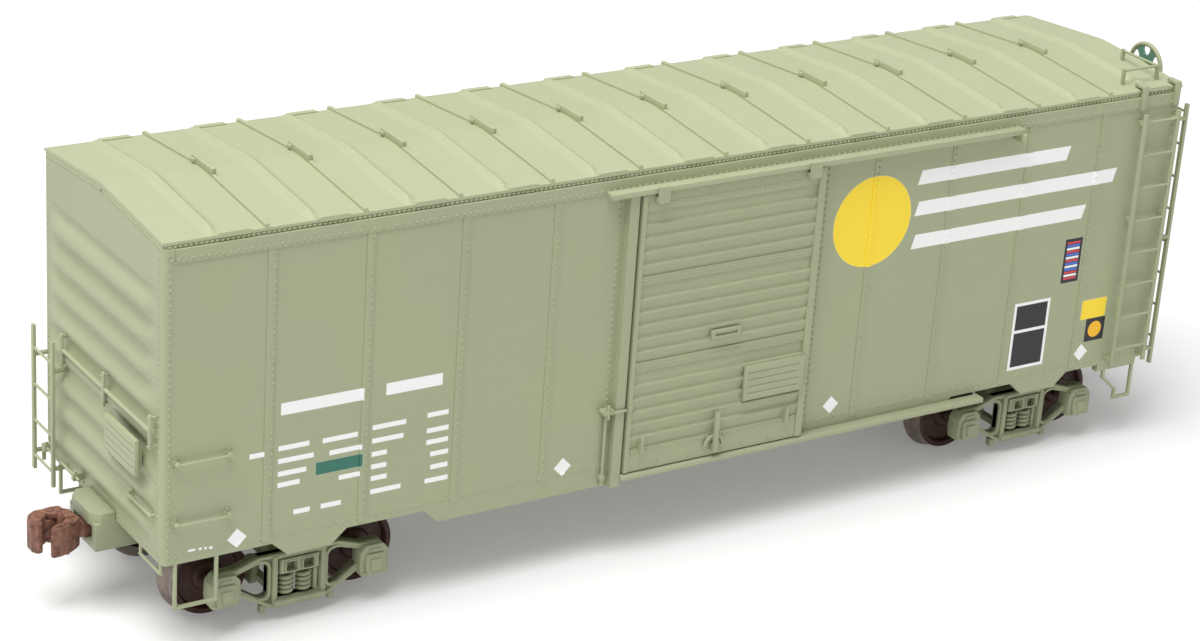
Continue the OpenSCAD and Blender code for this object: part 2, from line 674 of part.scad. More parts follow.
module draft_box() {
    difference() {
        union() {
            box([box_start + 0.05, -box_hw, box_floor - box_wall], [box_end, box_hw, pan_z - 0.15]);
            // striker casting above the box, with its front corners cut off
            translate([0, 0, box_roof + 0.3]) linear_extrude(striker_top - box_roof - 0.3) polygon([
                [half_l, -box_hw], [box_end - 0.7, -box_hw], [box_end + 0.3, 1.3 - box_hw],
                [box_end + 0.3, box_hw - 1.3], [box_end - 0.7, box_hw], [half_l, box_hw]]);
        }
        box([box_start + box_wall, -box_in, box_floor], [box_end + 1, box_in, box_roof]);
    }
    translate([post_x_pos, 0, box_floor - 0.1]) cylinder(h = box_roof - box_floor + 0.2, r = post_r);
}
module draft_boxes() { color(green) { draft_box(); half_turn() draft_box(); } }

// cut lever from the corner to the coupler, in two brackets
module cut_lever() {
    z = sill_z + 1.75;
    x = half_l + 1.1;
    bar([x, -14.9, z], [x, -4.4, z], rod_r);
    for (y = [-14.2, -5.6]) box([half_l, y - 0.3, z - 0.45], [x + 0.35, y + 0.3, z + 0.45]);
    box([x - 0.2, -15.2, z - 1.9], [x + 0.2, -14.8, z + 0.2]);
}
module cut_levers() { color(shade) { cut_lever(); half_turn() cut_lever(); } }

// coupler that points to +X from its pivot post, with its knuckle towards -Y
module coupler_plan() {
    polygon([[-1.2, -1.1], [6.0, -1.1], [7.0, -1.9], [7.9, -2.6], [8.0, -0.2], [7.7, 0.9], [8.5, 1.6],
        [9.9, 2.0], [10.6, 2.9], [9.6, 3.1], [8.2, 2.7], [7.0, 1.9], [6.0, 1.1], [-1.2, 1.1]]);
}
module coupler() {
    head_lo = coupler_z - coupler_h / 2;
    head_hi = coupler_z + coupler_h / 2;
    shank_lo = coupler_z - shank_h / 2;
    knuckle_gap_lo = head_lo + ear_h;
    knuckle_gap_hi = head_hi - ear_h;
    translate([post_x_pos, 0, 0]) difference() {
        union() {
            translate([0, 0, shank_lo]) linear_extrude(shank_h) intersection() {
                coupler_plan();
                translate([-3, -4]) square([10, 8]);
            }
            translate([0, 0, shank_lo]) cylinder(h = shank_h, r = 1.75);
            translate([0, 0, head_lo]) linear_extrude(coupler_h) intersection() {
                coupler_plan();
                translate([6.6, -4]) square([10, 8]);
            }
            for (z = [head_lo, knuckle_gap_hi]) translate([0, 0, z]) linear_extrude(ear_h) {
                translate([knuckle_x, knuckle_y]) circle(0.9);
                translate([7.2, -2.6]) square([1.6, 1.7]);
            }
            translate([knuckle_x, knuckle_y, head_lo + 0.2]) cylinder(h = coupler_h - 0.4, r = pin_r);
        }
        translate([0, 0, shank_lo - 1]) cylinder(h = shank_h + 2, r = post_r + run_gap);
        // room for the knuckle's hub between the ears
        translate([0, 0, knuckle_gap_lo]) linear_extrude(knuckle_gap_hi - knuckle_gap_lo) difference() {
            translate([knuckle_x, knuckle_y]) circle(1.15);
            translate([knuckle_x, knuckle_y]) circle(pin_r);
        }
    }
}
// knuckle: a hub on the pin and a hooked nose in front of it
module knuckle_plan() {
    polygon([[knuckle_x + 0.2, knuckle_y - 0.85], [knuckle_x + 1.6, -2.7], [knuckle_x + 2.6, -2.0],
        [coupler_len, -1.0], [coupler_len, 0.6], [coupler_len - 0.5, 1.3], [coupler_len - 1.2, 1.2],
        [coupler_len - 1.4, 0.6], [knuckle_x + 1.45, -0.5], [knuckle_x + 0.9, knuckle_y + 0.4]]);
}
module knuckle() {
    head_lo = coupler_z - coupler_h / 2;
    translate([post_x_pos, 0, 0]) difference() {
        union() {
            translate([knuckle_x, knuckle_y, head_lo + ear_h + 0.08]) cylinder(h = coupler_h - 2 * ear_h - 0.16, r = 0.88);
            translate([0, 0, head_lo + ear_h + 0.08]) linear_extrude(coupler_h - 2 * ear_h - 0.16) knuckle_plan();
            translate([0, 0, head_lo]) linear_extrude(coupler_h) difference() {
                knuckle_plan();
                translate([knuckle_x, knuckle_y]) circle(1.05);
            }
        }
        translate([knuckle_x, knuckle_y, 0]) cylinder(h = 30, r = pin_r + run_gap);
    }
}
module coupler_a() { color(rust) half_turn() coupler(); }
module coupler_b() { color(rust) coupler(); }
module knuckle_a() { color(rust) half_turn() knuckle(); }
module knuckle_b() { color(rust) knuckle(); }

// ---- trucks, drawn about the swivel centre at the B end ----

module truck_place(end) translate([end * truck_x, 0, 0]) children();

window_hw = 2.9;
window_top = bolster_top - 0.75;
window_bot = axle_z - 2.5;
module truck_bolster() {
    difference() {
        union() {
            // the ends fill the tops of the sideframes' windows
            along_y(-frame_y - frame_t / 2 - 0.1, frame_gap + frame_t + 0.2)
                polygon([[-2.5, bolster_bot + 0.25], [2.5, bolster_bot + 0.25], [2.5, window_top - 0.05],
                    [-2.5, window_top - 0.05]]);
            along_y(-9, 18) polygon([[-2.3, bolster_bot], [2.3, bolster_bot], [2.3, window_top + 0.1],
                [-2.3, window_top + 0.1]]);
            translate([0, 0, bolster_bot]) cylinder(h = bolster_top - bolster_bot, r = 2.9);
        }
        translate([0, 0, bolster_bot - 1]) cylinder(h = bolster_top - bolster_bot + 2, r = screw_r + run_gap);
        // two square pockets in each end
        for (s = [-1, 1]) for (x = [-1.25, 1.25]) translate([x, s * (frame_y + frame_t / 2 + 0.1), window_top - 1.15])
            cube([1.5, 1.6, 1.3], center = true);
    }
}
module frame_plan() {
    w = wheelbase / 2;
    top = window_top + 0.7;
    difference() {
        polygon([[-w - 2.1, axle_z - 1.6], [-w + 1.6, axle_z - 1.6], [-4.2, window_bot - 0.9], [-3.3, window_bot - 1.25],
            [3.3, window_bot - 1.25], [4.2, window_bot - 0.9], [w - 1.6, axle_z - 1.6], [w + 2.1, axle_z - 1.6],
            [w + 2.1, axle_z + 1.4], [w + 1.2, axle_z + 2.4], [w - 2.2, axle_z + 2.6], [4.6, top],
            [-4.6, top], [-w + 2.2, axle_z + 2.6], [-w - 1.2, axle_z + 2.4], [-w - 2.1, axle_z + 1.4]]);
        translate([-window_hw, window_bot]) square([2 * window_hw, window_top - window_bot]);
        for (s = [-1, 1]) polygon([for (p = [[4.1, window_bot + 0.5], [5.0, window_bot + 0.1], [w - 2.4, axle_z - 0.5],
            [w - 2.4, axle_z + 1.1], [4.9, top - 0.9], [4.1, top - 1.3]]) [s * p[0], p[1]]]);
    }
}
box_hx = 1.9;
module truck_frame() {
    w = wheelbase / 2;
    inside = frame_y - frame_t / 2;
    outside = frame_y + frame_t / 2;
    difference() {
        union() {
            along_y(-outside, frame_t) frame_plan();
            for (s = [-1, 1]) {
                // journal box with its sloping lid
                along_x(s * w - box_hx, 2 * box_hx) polygon([[-inside + 0.3, axle_z - 1.7],
                    [-outside - 0.9, axle_z - 1.7], [-outside - 1.1, axle_z - 0.2], [-outside - 0.6, axle_z + 1.5],
                    [-inside + 0.3, axle_z + 2.0]]);
            }
            // lips around the centre window and the spring seat
            for (s = [-1, 1]) box([s * 3.35 - 0.35, -outside - 0.35, window_bot - 0.6],
                [s * 3.35 + 0.35, -outside + 0.1, window_top + 0.5]);
            box([-3.7, -outside - 0.7, window_bot - 0.7], [3.7, -outside + 0.1, window_bot - 0.1]);
        }
        for (s = [-1, 1]) translate([s * w, -journal_end - run_gap, axle_z]) rotate([-90, 0, 0])
            cylinder(h = 6, r = journal_r + run_gap);
    }
}
module truck_springs() {
    z0 = window_bot;
    z1 = bolster_bot + 0.25;
    r = 0.78;
    turn = (z1 - z0) / 4;
    coils = [for (k = [0:3]) for (q = [[r - 0.25, 0], [r, 0.3], [r, 0.7]]) [q[0], (k + q[1]) * turn]];
    for (s = [-1, 1]) for (x = [-1.75, 0, 1.75]) translate([x, s * frame_y, z0]) rotate_extrude()
        polygon(concat([[0, 0]], coils, [[r - 0.25, z1 - z0], [0, z1 - z0]]));
}
// a brake beam beside each axle, with a shoe behind each wheel tread, hung in the sideframes
shoe_gap = 0.3;
beam_x = wheelbase / 2 - tread_r - flange_h - shoe_gap - 0.9;
beam_z = axle_z - 1.9;
module shoe_plan() intersection() {
    difference() {
        translate([wheelbase / 2, axle_z]) circle(tread_r + flange_h + shoe_gap + 0.8);
        translate([wheelbase / 2, axle_z]) circle(tread_r + flange_h + shoe_gap);
    }
    translate([beam_x - 0.6, axle_z - 2.2]) square([2.4, 3.0]);
}
module brake_beam() {
    beam_end = frame_y - frame_t / 2 - 0.05;
    box([beam_x - 0.5, -beam_end, beam_z], [beam_x + 0.5, beam_end, beam_z + 0.8]);
    for (s = [-1, 1]) along_y(s * (wheel_back + 1.7) - 0.9, 1.8) shoe_plan();
}
module truck_brakes() { brake_beam(); half_turn() brake_beam(); }
module truck_a_bolster() { color(green) truck_place(-1) truck_bolster(); }
module truck_b_bolster() { color(green) truck_place(1) truck_bolster(); }
module truck_a_frame_left() { color(green) truck_place(-1) truck_frame(); }
module truck_a_frame_right() { color(green) truck_place(-1) half_turn() truck_frame(); }
module truck_b_frame_left() { color(green) truck_place(1) truck_frame(); }
module truck_b_frame_right() { color(green) truck_place(1) half_turn() truck_frame(); }
module truck_a_springs() { color(green) truck_place(-1) truck_springs(); }
module truck_b_springs() { color(green) truck_place(1) truck_springs(); }
module truck_a_brakes() { color(shade) truck_place(-1) truck_brakes(); }
module truck_b_brakes() { color(shade) truck_place(1) truck_brakes(); }

// ---- wheelsets ----

// section of the wheel at +Y, as radius against distance from the middle
wheel_bore = axle_r + 0.01;
wheel_section = [[wheel_bore, wheel_back - 0.4], [1.7, wheel_back - 0.4], [1.7, wheel_back + 0.3],
    [3.9, wheel_back + 0.3], [4.1, wheel_back], [tread_r + flange_h - 0.2, wheel_back],
    [tread_r + flange_h, wheel_back + 0.25], [tread_r + flange_h - 0.05, wheel_back + 0.55],
    [tread_r + 0.15, wheel_back + 0.8], [tread_r, wheel_back + 1.05], [tread_r - 0.06, wheel_face - 0.15],
    [tread_r - 0.2, wheel_face], [tread_r - 0.75, wheel_face], [tread_r - 0.95, wheel_face - 0.75],
    [1.9, wheel_face - 0.75], [1.5, wheel_face - 0.1], [wheel_bore, wheel_face - 0.1]];
// half of an axle, from its middle out to the end of its journal
axle_half = [[axle_r, wheel_face - 0.1], [axle_r - 0.2, wheel_face], [axle_r - 0.2, wheel_face + 0.6],
    [journal_r, wheel_face + 1.1], [journal_r, journal_end - 0.12], [journal_r - 0.15, journal_end - 0.05],
    [0, journal_end - 0.05]];
module turned(section) color(wheel_brown) translate([0, 0, axle_z]) rotate([90, 0, 0]) rotate_extrude()
    polygon(section);
module axle() turned(concat([for (i = [len(axle_half) - 1:-1:0]) [axle_half[i][0], -axle_half[i][1]]], axle_half));
module wheels() {
    turned(wheel_section);
    half_turn() turned(wheel_section);
}
function axle_x(end, side) = end * truck_x + side * wheelbase / 2;
module axle_a1() translate([axle_x(-1, -1), 0, 0]) axle();
module axle_a2() translate([axle_x(-1, 1), 0, 0]) axle();
module axle_b1() translate([axle_x(1, -1), 0, 0]) axle();
module axle_b2() translate([axle_x(1, 1), 0, 0]) axle();
module wheels_a1() translate([axle_x(-1, -1), 0, 0]) wheels();
module wheels_a2() translate([axle_x(-1, 1), 0, 0]) wheels();
module wheels_b1() translate([axle_x(1, -1), 0, 0]) wheels();
module wheels_b2() translate([axle_x(1, 1), 0, 0]) wheels();

side_left();
side_right();
end_a();
end_b();
roof();
floor_deck();
steel_weight();
floor_pan();
centre_sill();
centre_plates();
bolster_arms();
cross_bearers();
truck_screws();
upper_tracks();
lower_tracks();
ladders_a();
ladders_b();
side_grab_irons();
end_rails_a();
end_rails_b();
sill_steps();
tack_boards();
roof_grab();
brake_wheel();
brake_housing();
brake_platform();
air_reservoir();
brake_cylinder();
control_valve();
brake_levers();
draft_boxes();
cut_levers();
door_left();
door_right();
door_fittings_left();
door_fittings_right();
truck_a_bolster();
truck_a_frame_left();
truck_a_frame_right();
truck_a_springs();
truck_a_brakes();
truck_b_bolster();
truck_b_frame_left();
truck_b_frame_right();
truck_b_springs();
truck_b_brakes();
axle_a1();
wheels_a1();
axle_a2();
wheels_a2();
axle_b1();
wheels_b1();
axle_b2();
wheels_b2();
coupler_a();
coupler_b();
knuckle_a();
knuckle_b();
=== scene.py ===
# Model boxcar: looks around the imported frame. Everything is in metres.
import json
import math
import bpy
import bmesh
from mathutils import Matrix, Vector


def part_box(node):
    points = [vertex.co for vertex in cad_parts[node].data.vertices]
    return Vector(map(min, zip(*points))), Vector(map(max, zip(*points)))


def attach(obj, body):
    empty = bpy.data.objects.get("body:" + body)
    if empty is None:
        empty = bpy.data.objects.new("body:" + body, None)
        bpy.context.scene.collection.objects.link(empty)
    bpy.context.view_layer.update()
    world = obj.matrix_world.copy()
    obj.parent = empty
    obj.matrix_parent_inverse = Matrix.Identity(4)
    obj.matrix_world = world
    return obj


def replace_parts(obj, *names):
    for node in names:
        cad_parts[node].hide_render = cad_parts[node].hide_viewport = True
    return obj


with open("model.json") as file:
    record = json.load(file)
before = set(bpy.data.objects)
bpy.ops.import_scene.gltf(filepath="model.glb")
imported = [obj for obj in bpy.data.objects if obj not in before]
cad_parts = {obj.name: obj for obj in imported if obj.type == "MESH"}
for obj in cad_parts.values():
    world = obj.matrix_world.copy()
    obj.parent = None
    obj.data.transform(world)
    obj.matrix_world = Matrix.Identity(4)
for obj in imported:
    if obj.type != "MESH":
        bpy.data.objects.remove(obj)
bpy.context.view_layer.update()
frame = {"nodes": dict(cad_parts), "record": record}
scene = bpy.context.scene
mm = 0.001
flip = Matrix.Rotation(math.pi, 4, "Z")     # the right side is the left side turned half round


def measureCar():
    endLow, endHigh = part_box("end_b")
    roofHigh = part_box("roof")[1]
    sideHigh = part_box("side_left")[1]
    doorLow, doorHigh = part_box("door_left")
    return {
        "halfLength": roofHigh.x,
        "halfWidth": endHigh.y,
        "roofHalf": roofHigh.y,
        "sill": endLow.z,
        "eave": sideHigh.z,
        "doorLeft": doorLow.x,
        "doorRight": doorHigh.x,
        "doorLow": doorLow.z,
    }


car = measureCar()
print("frame loaded:", len(frame["nodes"]), "nodes")


def addNode(tree, kind, **settings):
    node = tree.nodes.new(kind)
    for name, value in settings.items():
        setattr(node, name, value)
    return node


def plug(tree, value, socket):
    # a socket is linked, anything else is a plain value
    if isinstance(value, bpy.types.NodeSocket):
        tree.links.new(value, socket)
    else:
        socket.default_value = value


def calc(tree, operation, a, b=0.0, c=0.0):
    node = addNode(tree, "ShaderNodeMath", operation=operation)
    plug(tree, a, node.inputs[0])
    plug(tree, b, node.inputs[1])
    plug(tree, c, node.inputs[2])
    return node.outputs[0]


def mixColor(tree, factor, a, b, blend="MIX"):
    node = addNode(tree, "ShaderNodeMix", data_type="RGBA", blend_type=blend)
    plug(tree, factor, node.inputs["Factor"])
    plug(tree, a, node.inputs[6])
    plug(tree, b, node.inputs[7])
    return node.outputs[2]


def rgba(color):
    return (color[0], color[1], color[2], 1.0)


def noiseAt(tree, place, scale, detail=3.0, rough=0.5):
    node = addNode(tree, "ShaderNodeTexNoise")
    plug(tree, place, node.inputs["Vector"])
    node.inputs["Scale"].default_value = scale
    node.inputs["Detail"].default_value = detail
    node.inputs["Roughness"].default_value = rough
    return node.outputs["Fac"]


def remap(tree, value, low, high, toLow=0.0, toHigh=1.0):
    node = addNode(tree, "ShaderNodeMapRange", clamp=True)
    plug(tree, value, node.inputs["Value"])
    plug(tree, low, node.inputs["From Min"])
    plug(tree, high, node.inputs["From Max"])
    plug(tree, toLow, node.inputs["To Min"])
    plug(tree, toHigh, node.inputs["To Max"])
    return node.outputs["Result"]


def newGroup(name, inputs, outputs):
    group = bpy.data.node_groups.new(name, "ShaderNodeTree")
    for socketName, kind, value in inputs:
        socket = group.interface.new_socket(name=socketName, in_out="INPUT", socket_type="NodeSocket" + kind)
        socket.default_value = value
    for socketName, kind in outputs:
        group.interface.new_socket(name=socketName, in_out="OUTPUT", socket_type="NodeSocket" + kind)
    return group, addNode(group, "NodeGroupInput"), addNode(group, "NodeGroupOutput")


def buildPaintFilm():
    # sprayed paint: slow warm and cool drift, fine speckle, and the grain of a matt coat
    group, given, out = newGroup("paintFilm",
        [("Color", "Color", rgba((0.4, 0.4, 0.3))), ("Cool", "Color", rgba((0.36, 0.43, 0.30))),
         ("Drift", "Float", 0.35), ("Speckle", "Float", 0.05), ("Rough", "Float", 0.55)],
        [("Color", "Color"), ("Roughness", "Float"), ("Height", "Float")])
    place = addNode(group, "ShaderNodeTexCoord").outputs["Object"]
    slow = noiseAt(group, place, 55.0, 2.0)
    fine = noiseAt(group, place, 2600.0, 2.0)
    grain = noiseAt(group, place, 5200.0, 1.0)
    drift = calc(group, "MULTIPLY", remap(group, slow, 0.35, 0.65), given.outputs["Drift"])
    tinted = mixColor(group, drift, given.outputs["Color"], given.outputs["Cool"])
    level = calc(group, "MULTIPLY_ADD", calc(group, "SUBTRACT", fine, 0.5), given.outputs["Speckle"], 1.0)
    shade = addNode(group, "ShaderNodeCombineColor")
    for channel in range(3):
        plug(group, level, shade.inputs[channel])
    plug(group, mixColor(group, 1.0, tinted, shade.outputs[0], "MULTIPLY"), out.inputs["Color"])
    rough = calc(group, "ADD", given.outputs["Rough"], remap(group, slow, 0.3, 0.7, -0.04, 0.05))
    plug(group, rough, out.inputs["Roughness"])
    plug(group, calc(group, "ADD", calc(group, "MULTIPLY", grain, 0.6), calc(group, "MULTIPLY", fine, 0.4)),
         out.inputs["Height"])
    return group


def buildSettledDust():
    # pale dust that lies on upward faces, and grime that gathers low down
    group, given, out = newGroup("settledDust",
        [("Color", "Color", rgba((0.4, 0.4, 0.3))), ("Dust", "Float", 0.1), ("Grime", "Float", 0.15),
         ("Low", "Float", 0.002), ("High", "Float", 0.012)],
        [("Color", "Color")])
    geometry = addNode(group, "ShaderNodeNewGeometry")
    place = addNode(group, "ShaderNodeTexCoord").outputs["Object"]
    normal = addNode(group, "ShaderNodeSeparateXYZ")
    point = addNode(group, "ShaderNodeSeparateXYZ")
    plug(group, geometry.outputs["Normal"], normal.inputs[0])
    plug(group, place, point.inputs[0])
    patchy = noiseAt(group, place, 420.0, 3.0)
    up = calc(group, "MULTIPLY", remap(group, normal.outputs[2], 0.3, 1.0), remap(group, patchy, 0.3, 0.7))
    dusty = mixColor(group, calc(group, "MULTIPLY", up, given.outputs["Dust"]), given.outputs["Color"],
                     rgba((0.56, 0.56, 0.46)))
    low = remap(group, point.outputs[2], given.outputs["Low"], given.outputs["High"], 1.0, 0.0)
    dark = calc(group, "MULTIPLY", calc(group, "MULTIPLY", low, remap(group, patchy, 0.35, 0.75)),
                given.outputs["Grime"])
    plug(group, mixColor(group, dark, dusty, rgba((0.09, 0.075, 0.05))), out.inputs["Color"])
    return group


paintColors = {
    "white": (0.88, 0.89, 0.88),
    "black": (0.022, 0.022, 0.024),
    "yellow": (0.95, 0.70, 0.035),
    "amber": (0.93, 0.50, 0.02),
    "patch": (0.035, 0.165, 0.12),
    "red": (0.62, 0.05, 0.07),
    "blue": (0.06, 0.17, 0.62),
}

# plain markings on each side, in millimetres: along the side as a viewer sees it, and up from the rail
markings = {
    "disc": {"middle": (23.2, 38.8), "radius": 6.05},
    "stripes": {"left": 30.4, "tops": (44.6, 40.4, 35.9), "lengths": (24.4, 33.0, 28.4), "height": 1.9,
                "slant": 0.28},
    "number": {"bars": ((-58.6, -48.1), (-45.2, -37.8)), "low": 27.7, "height": 1.5},
    "lines": {"height": 0.62, "runs": (
        (-62.4, -60.6, 23.3), (-58.8, -54.9, 23.6), (-53.2, -48.7, 23.5), (-58.8, -54.3, 22.0),
        (-52.3, -48.1, 21.8), (-58.8, -55.2, 20.4), (-58.8, -56.0, 19.0),
        (-51.0, -48.3, 18.4), (-56.7, -54.6, 15.2), (-53.2, -50.6, 15.2), (-46.8, -42.4, 23.9),
        (-39.6, -36.8, 24.1), (-46.8, -42.7, 22.2), (-39.6, -36.7, 22.1), (-46.8, -44.8, 20.5),
        (-39.6, -36.7, 20.6), (-46.8, -44.8, 18.9), (-39.0, -36.6, 19.0), (-46.8, -44.7, 17.4),
        (-38.9, -36.6, 17.3), (-46.8, -42.8, 15.7), (-39.6, -36.5, 15.6))},
    "dashes": {"height": 0.28, "runs": ((-69.8, -68.9, 13.1), (-68.5, -68.1, 13.05), (-67.8, -67.5, 13.0),
                                        (-67.2, -66.8, 12.95))},
    "patches": {"boxes": ((-54.0, -48.0, 19.3, 20.9),)},
    "diamonds": {"middles": ((-63.75, 13.4), (-20.5, 13.6), (19.6, 14.3), (61.4, 14.2)), "reach": 1.22},
    "panel": {"outer": (48.7, 54.8, 13.7, 23.3), "border": 0.42, "split": 19.2},
    "label": {"outer": (56.1, 59.1, 25.0, 31.3), "border": 0.42, "colors": (
        "red", "white", "red", "blue", "white", "blue", "red", "white", "blue", "red", "white", "blue",
        "red")},
    "plate": {"yellow": (60.5, 64.9, 19.0, 21.8), "black": (61.7, 65.1, 15.6, 19.0),
              "dot": (63.4, 17.3, 1.15)},
}


def boxDistance(tree, u, z, low, high, bottom, top):
    # negative inside the box
    across = calc(tree, "SUBTRACT", calc(tree, "ABSOLUTE", calc(tree, "SUBTRACT", u, (low + high) / 2)),
                  (high - low) / 2)
    upward = calc(tree, "SUBTRACT", calc(tree, "ABSOLUTE", calc(tree, "SUBTRACT", z, (bottom + top) / 2)),
                  (top - bottom) / 2)
    return calc(tree, "MAXIMUM", across, upward)


def discDistance(tree, u, z, middle, radius):
    across = calc(tree, "SUBTRACT", u, middle[0])
    upward = calc(tree, "SUBTRACT", z, middle[1])
    square = calc(tree, "MULTIPLY_ADD", across, across, calc(tree, "MULTIPLY", upward, upward))
    return calc(tree, "SUBTRACT", calc(tree, "SQRT", square), radius)


def diamondDistance(tree, u, z, middle, reach):
    across = calc(tree, "ABSOLUTE", calc(tree, "SUBTRACT", u, middle[0]))
    upward = calc(tree, "ABSOLUTE", calc(tree, "SUBTRACT", z, middle[1]))
    return calc(tree, "SUBTRACT", calc(tree, "ADD", across, upward), reach)


def nearest(tree, distances):
    found = distances[0]
    for other in distances[1:]:
        found = calc(tree, "MINIMUM", found, other)
    return found


def buildSideMarkings():
    # one flat colour at each point of the side, and where it lies; only the outer face is printed
    group, given, out = newGroup("sideMarkings", [("Soft Edge", "Float", 0.03)],
                                 [("Color", "Color"), ("Mask", "Float")])
    point = addNode(group, "ShaderNodeSeparateXYZ")
    plug(group, addNode(group, "ShaderNodeTexCoord").outputs["Object"], point.inputs[0])
    facing = calc(group, "SIGN", point.outputs[1])
    u = calc(group, "MULTIPLY", calc(group, "MULTIPLY", point.outputs[0], facing), -1 / mm)
    z = calc(group, "MULTIPLY", point.outputs[2], 1 / mm)
    across = calc(group, "ABSOLUTE", point.outputs[1])
    outer = calc(group, "GREATER_THAN", across, car["halfWidth"] - 0.2 * mm)
    layers = []

    stripes = markings["stripes"]
    leaning = calc(group, "MULTIPLY_ADD", z, -stripes["slant"], u)
    layers.append(("white", [boxDistance(group, leaning, z,
        stripes["left"] - stripes["slant"] * top, stripes["left"] - stripes["slant"] * top + length,
        top - stripes["height"], top) for top, length in zip(stripes["tops"], stripes["lengths"])]))
    disc = markings["disc"]
    layers.append(("yellow", [discDistance(group, u, z, disc["middle"], disc["radius"])]))
    layers.append(("patch", [boxDistance(group, u, z, *box) for box in markings["patches"]["boxes"]]))
    number = markings["number"]
    plain = [boxDistance(group, u, z, a, b, number["low"], number["low"] + number["height"])
             for a, b in number["bars"]]
    for rows in (markings["lines"], markings["dashes"]):
        plain += [boxDistance(group, u, z, a, b, middle - rows["height"] / 2, middle + rows["height"] / 2)
                  for a, b, middle in rows["runs"]]
    plain += [diamondDistance(group, u, z, middle, markings["diamonds"]["reach"])
              for middle in markings["diamonds"]["middles"]]
    low, high, bottom, top = markings["panel"]["outer"]
    plain.append(boxDistance(group, u, z, low, high, bottom, top))
    layers.append(("white", plain))
    edge = markings["panel"]["border"]
    split = markings["panel"]["split"]
    black = [boxDistance(group, u, z, low + edge, high - edge, bottom + edge, split - edge / 2),
             boxDistance(group, u, z, low + edge, high - edge, split + edge / 2, top - edge),
             boxDistance(group, u, z, *markings["label"]["outer"]),
             boxDistance(group, u, z, *markings["plate"]["black"])]
    layers.append(("black", black))
    low, high, bottom, top = markings["label"]["outer"]
    edge = markings["label"]["border"]
    colors = markings["label"]["colors"]
    step = (top - bottom - 2 * edge) / len(colors)
    for color in ("red", "white", "blue"):
        layers.append((color, [boxDistance(group, u, z, low + edge, high - edge,
            bottom + edge + (i + 0.12) * step, bottom + edge + (i + 0.88) * step)
            for i, name in enumerate(colors) if name == color]))
    layers.append(("yellow", [boxDistance(group, u, z, *markings["plate"]["yellow"])]))
    x, y, radius = markings["plate"]["dot"]
    layers.append(("amber", [discDistance(group, u, z, (x, y), radius)]))

    painted = rgba(paintColors["white"])
    covered = 0.0
    for color, distances in layers:
        inside = remap(group, nearest(group, distances), given.outputs["Soft Edge"],
                       calc(group, "MULTIPLY", given.outputs["Soft Edge"], -1.0))
        painted = mixColor(group, inside, painted, rgba(paintColors[color]))
        covered = calc(group, "MAXIMUM", covered, inside)
    plug(group, painted, out.inputs["Color"])
    plug(group, calc(group, "MULTIPLY", covered, outer), out.inputs["Mask"])
    return group


groups = {"film": buildPaintFilm(), "dust": buildSettledDust(), "markings": buildSideMarkings()}
print("shader groups built")


def useGroup(tree, name, **values):
    node = addNode(tree, "ShaderNodeGroup")
    node.node_tree = groups[name]
    for key, value in values.items():
        plug(tree, value, node.inputs[key])
    return node


def startMaterial(name, metallic=0.0, specular=0.35):
    material = bpy.data.materials.new(name)
    material.use_nodes = True
    tree = material.node_tree
    shader = tree.nodes["Principled BSDF"]
    shader.inputs["Metallic"].default_value = metallic
    shader.inputs["Specular IOR Level"].default_value = specular
    return material, tree, shader


def addBump(tree, shader, height, strength, distance):
    bump = addNode(tree, "ShaderNodeBump")
    bump.inputs["Strength"].default_value = strength
    bump.inputs["Distance"].default_value = distance
    plug(tree, height, bump.inputs["Height"])
    plug(tree, bump.outputs["Normal"], shader.inputs["Normal"])


# sage paint on the body, doors, trucks and underframe
sage = {
    "color": (0.395, 0.420, 0.258),
    "cool": (0.355, 0.412, 0.272),
    "rough": 0.50,
    "grainHeight": 0.000012,
}


def sagePaint(name, tone=1.0, drift=0.35, dust=0.12, grime=0.12, marked=False):
    material, tree, shader = startMaterial(name)
    # tone brightens or darkens the sage colour; on the roof, sides and body it carries painted light and
    # painted shade
    film = useGroup(tree, "film", Color=rgba([c * tone for c in sage["color"]]),
                    Cool=rgba([c * tone for c in sage["cool"]]), Drift=drift, Speckle=0.07,
                    Rough=sage["rough"])
    color = film.outputs["Color"]
    rough = film.outputs["Roughness"]
    if marked:
        marks = useGroup(tree, "markings")
        color = mixColor(tree, marks.outputs["Mask"], color, marks.outputs["Color"])
        rough = calc(tree, "MULTIPLY_ADD", marks.outputs["Mask"], -0.10, rough)
    dusty = useGroup(tree, "dust", Color=color, Dust=dust, Grime=grime)
    plug(tree, dusty.outputs["Color"], shader.inputs["Base Color"])
    plug(tree, rough, shader.inputs["Roughness"])
    addBump(tree, shader, film.outputs["Height"], 0.5, sage["grainHeight"])
    return material


def plugFilm(tree, film, shader):
    plug(tree, film.outputs["Color"], shader.inputs["Base Color"])
    plug(tree, film.outputs["Roughness"], shader.inputs["Roughness"])


# moulded rust-brown couplers
couplerLook = {"dark": (0.100, 0.042, 0.027), "light": (0.300, 0.140, 0.095), "patch": 1100.0}


def couplerPlastic():
    material, tree, shader = startMaterial("couplerPlastic", specular=0.4)
    place = addNode(tree, "ShaderNodeTexCoord").outputs["Object"]
    patches = remap(tree, noiseAt(tree, place, couplerLook["patch"], 4.0, 0.6), 0.32, 0.68)
    color = mixColor(tree, patches, rgba(couplerLook["dark"]), rgba(couplerLook["light"]))
    film = useGroup(tree, "film", Color=color, Cool=color, Drift=0.0, Speckle=0.25, Rough=0.62)
    plugFilm(tree, film, shader)
    addBump(tree, shader, patches, 0.6, 0.00006)
    return material


# wheels: brown painted faces, and treads and flanges worn to bare metal
wheelLook = {"paint": (0.034, 0.014, 0.009), "bare": (0.30, 0.245, 0.215)}


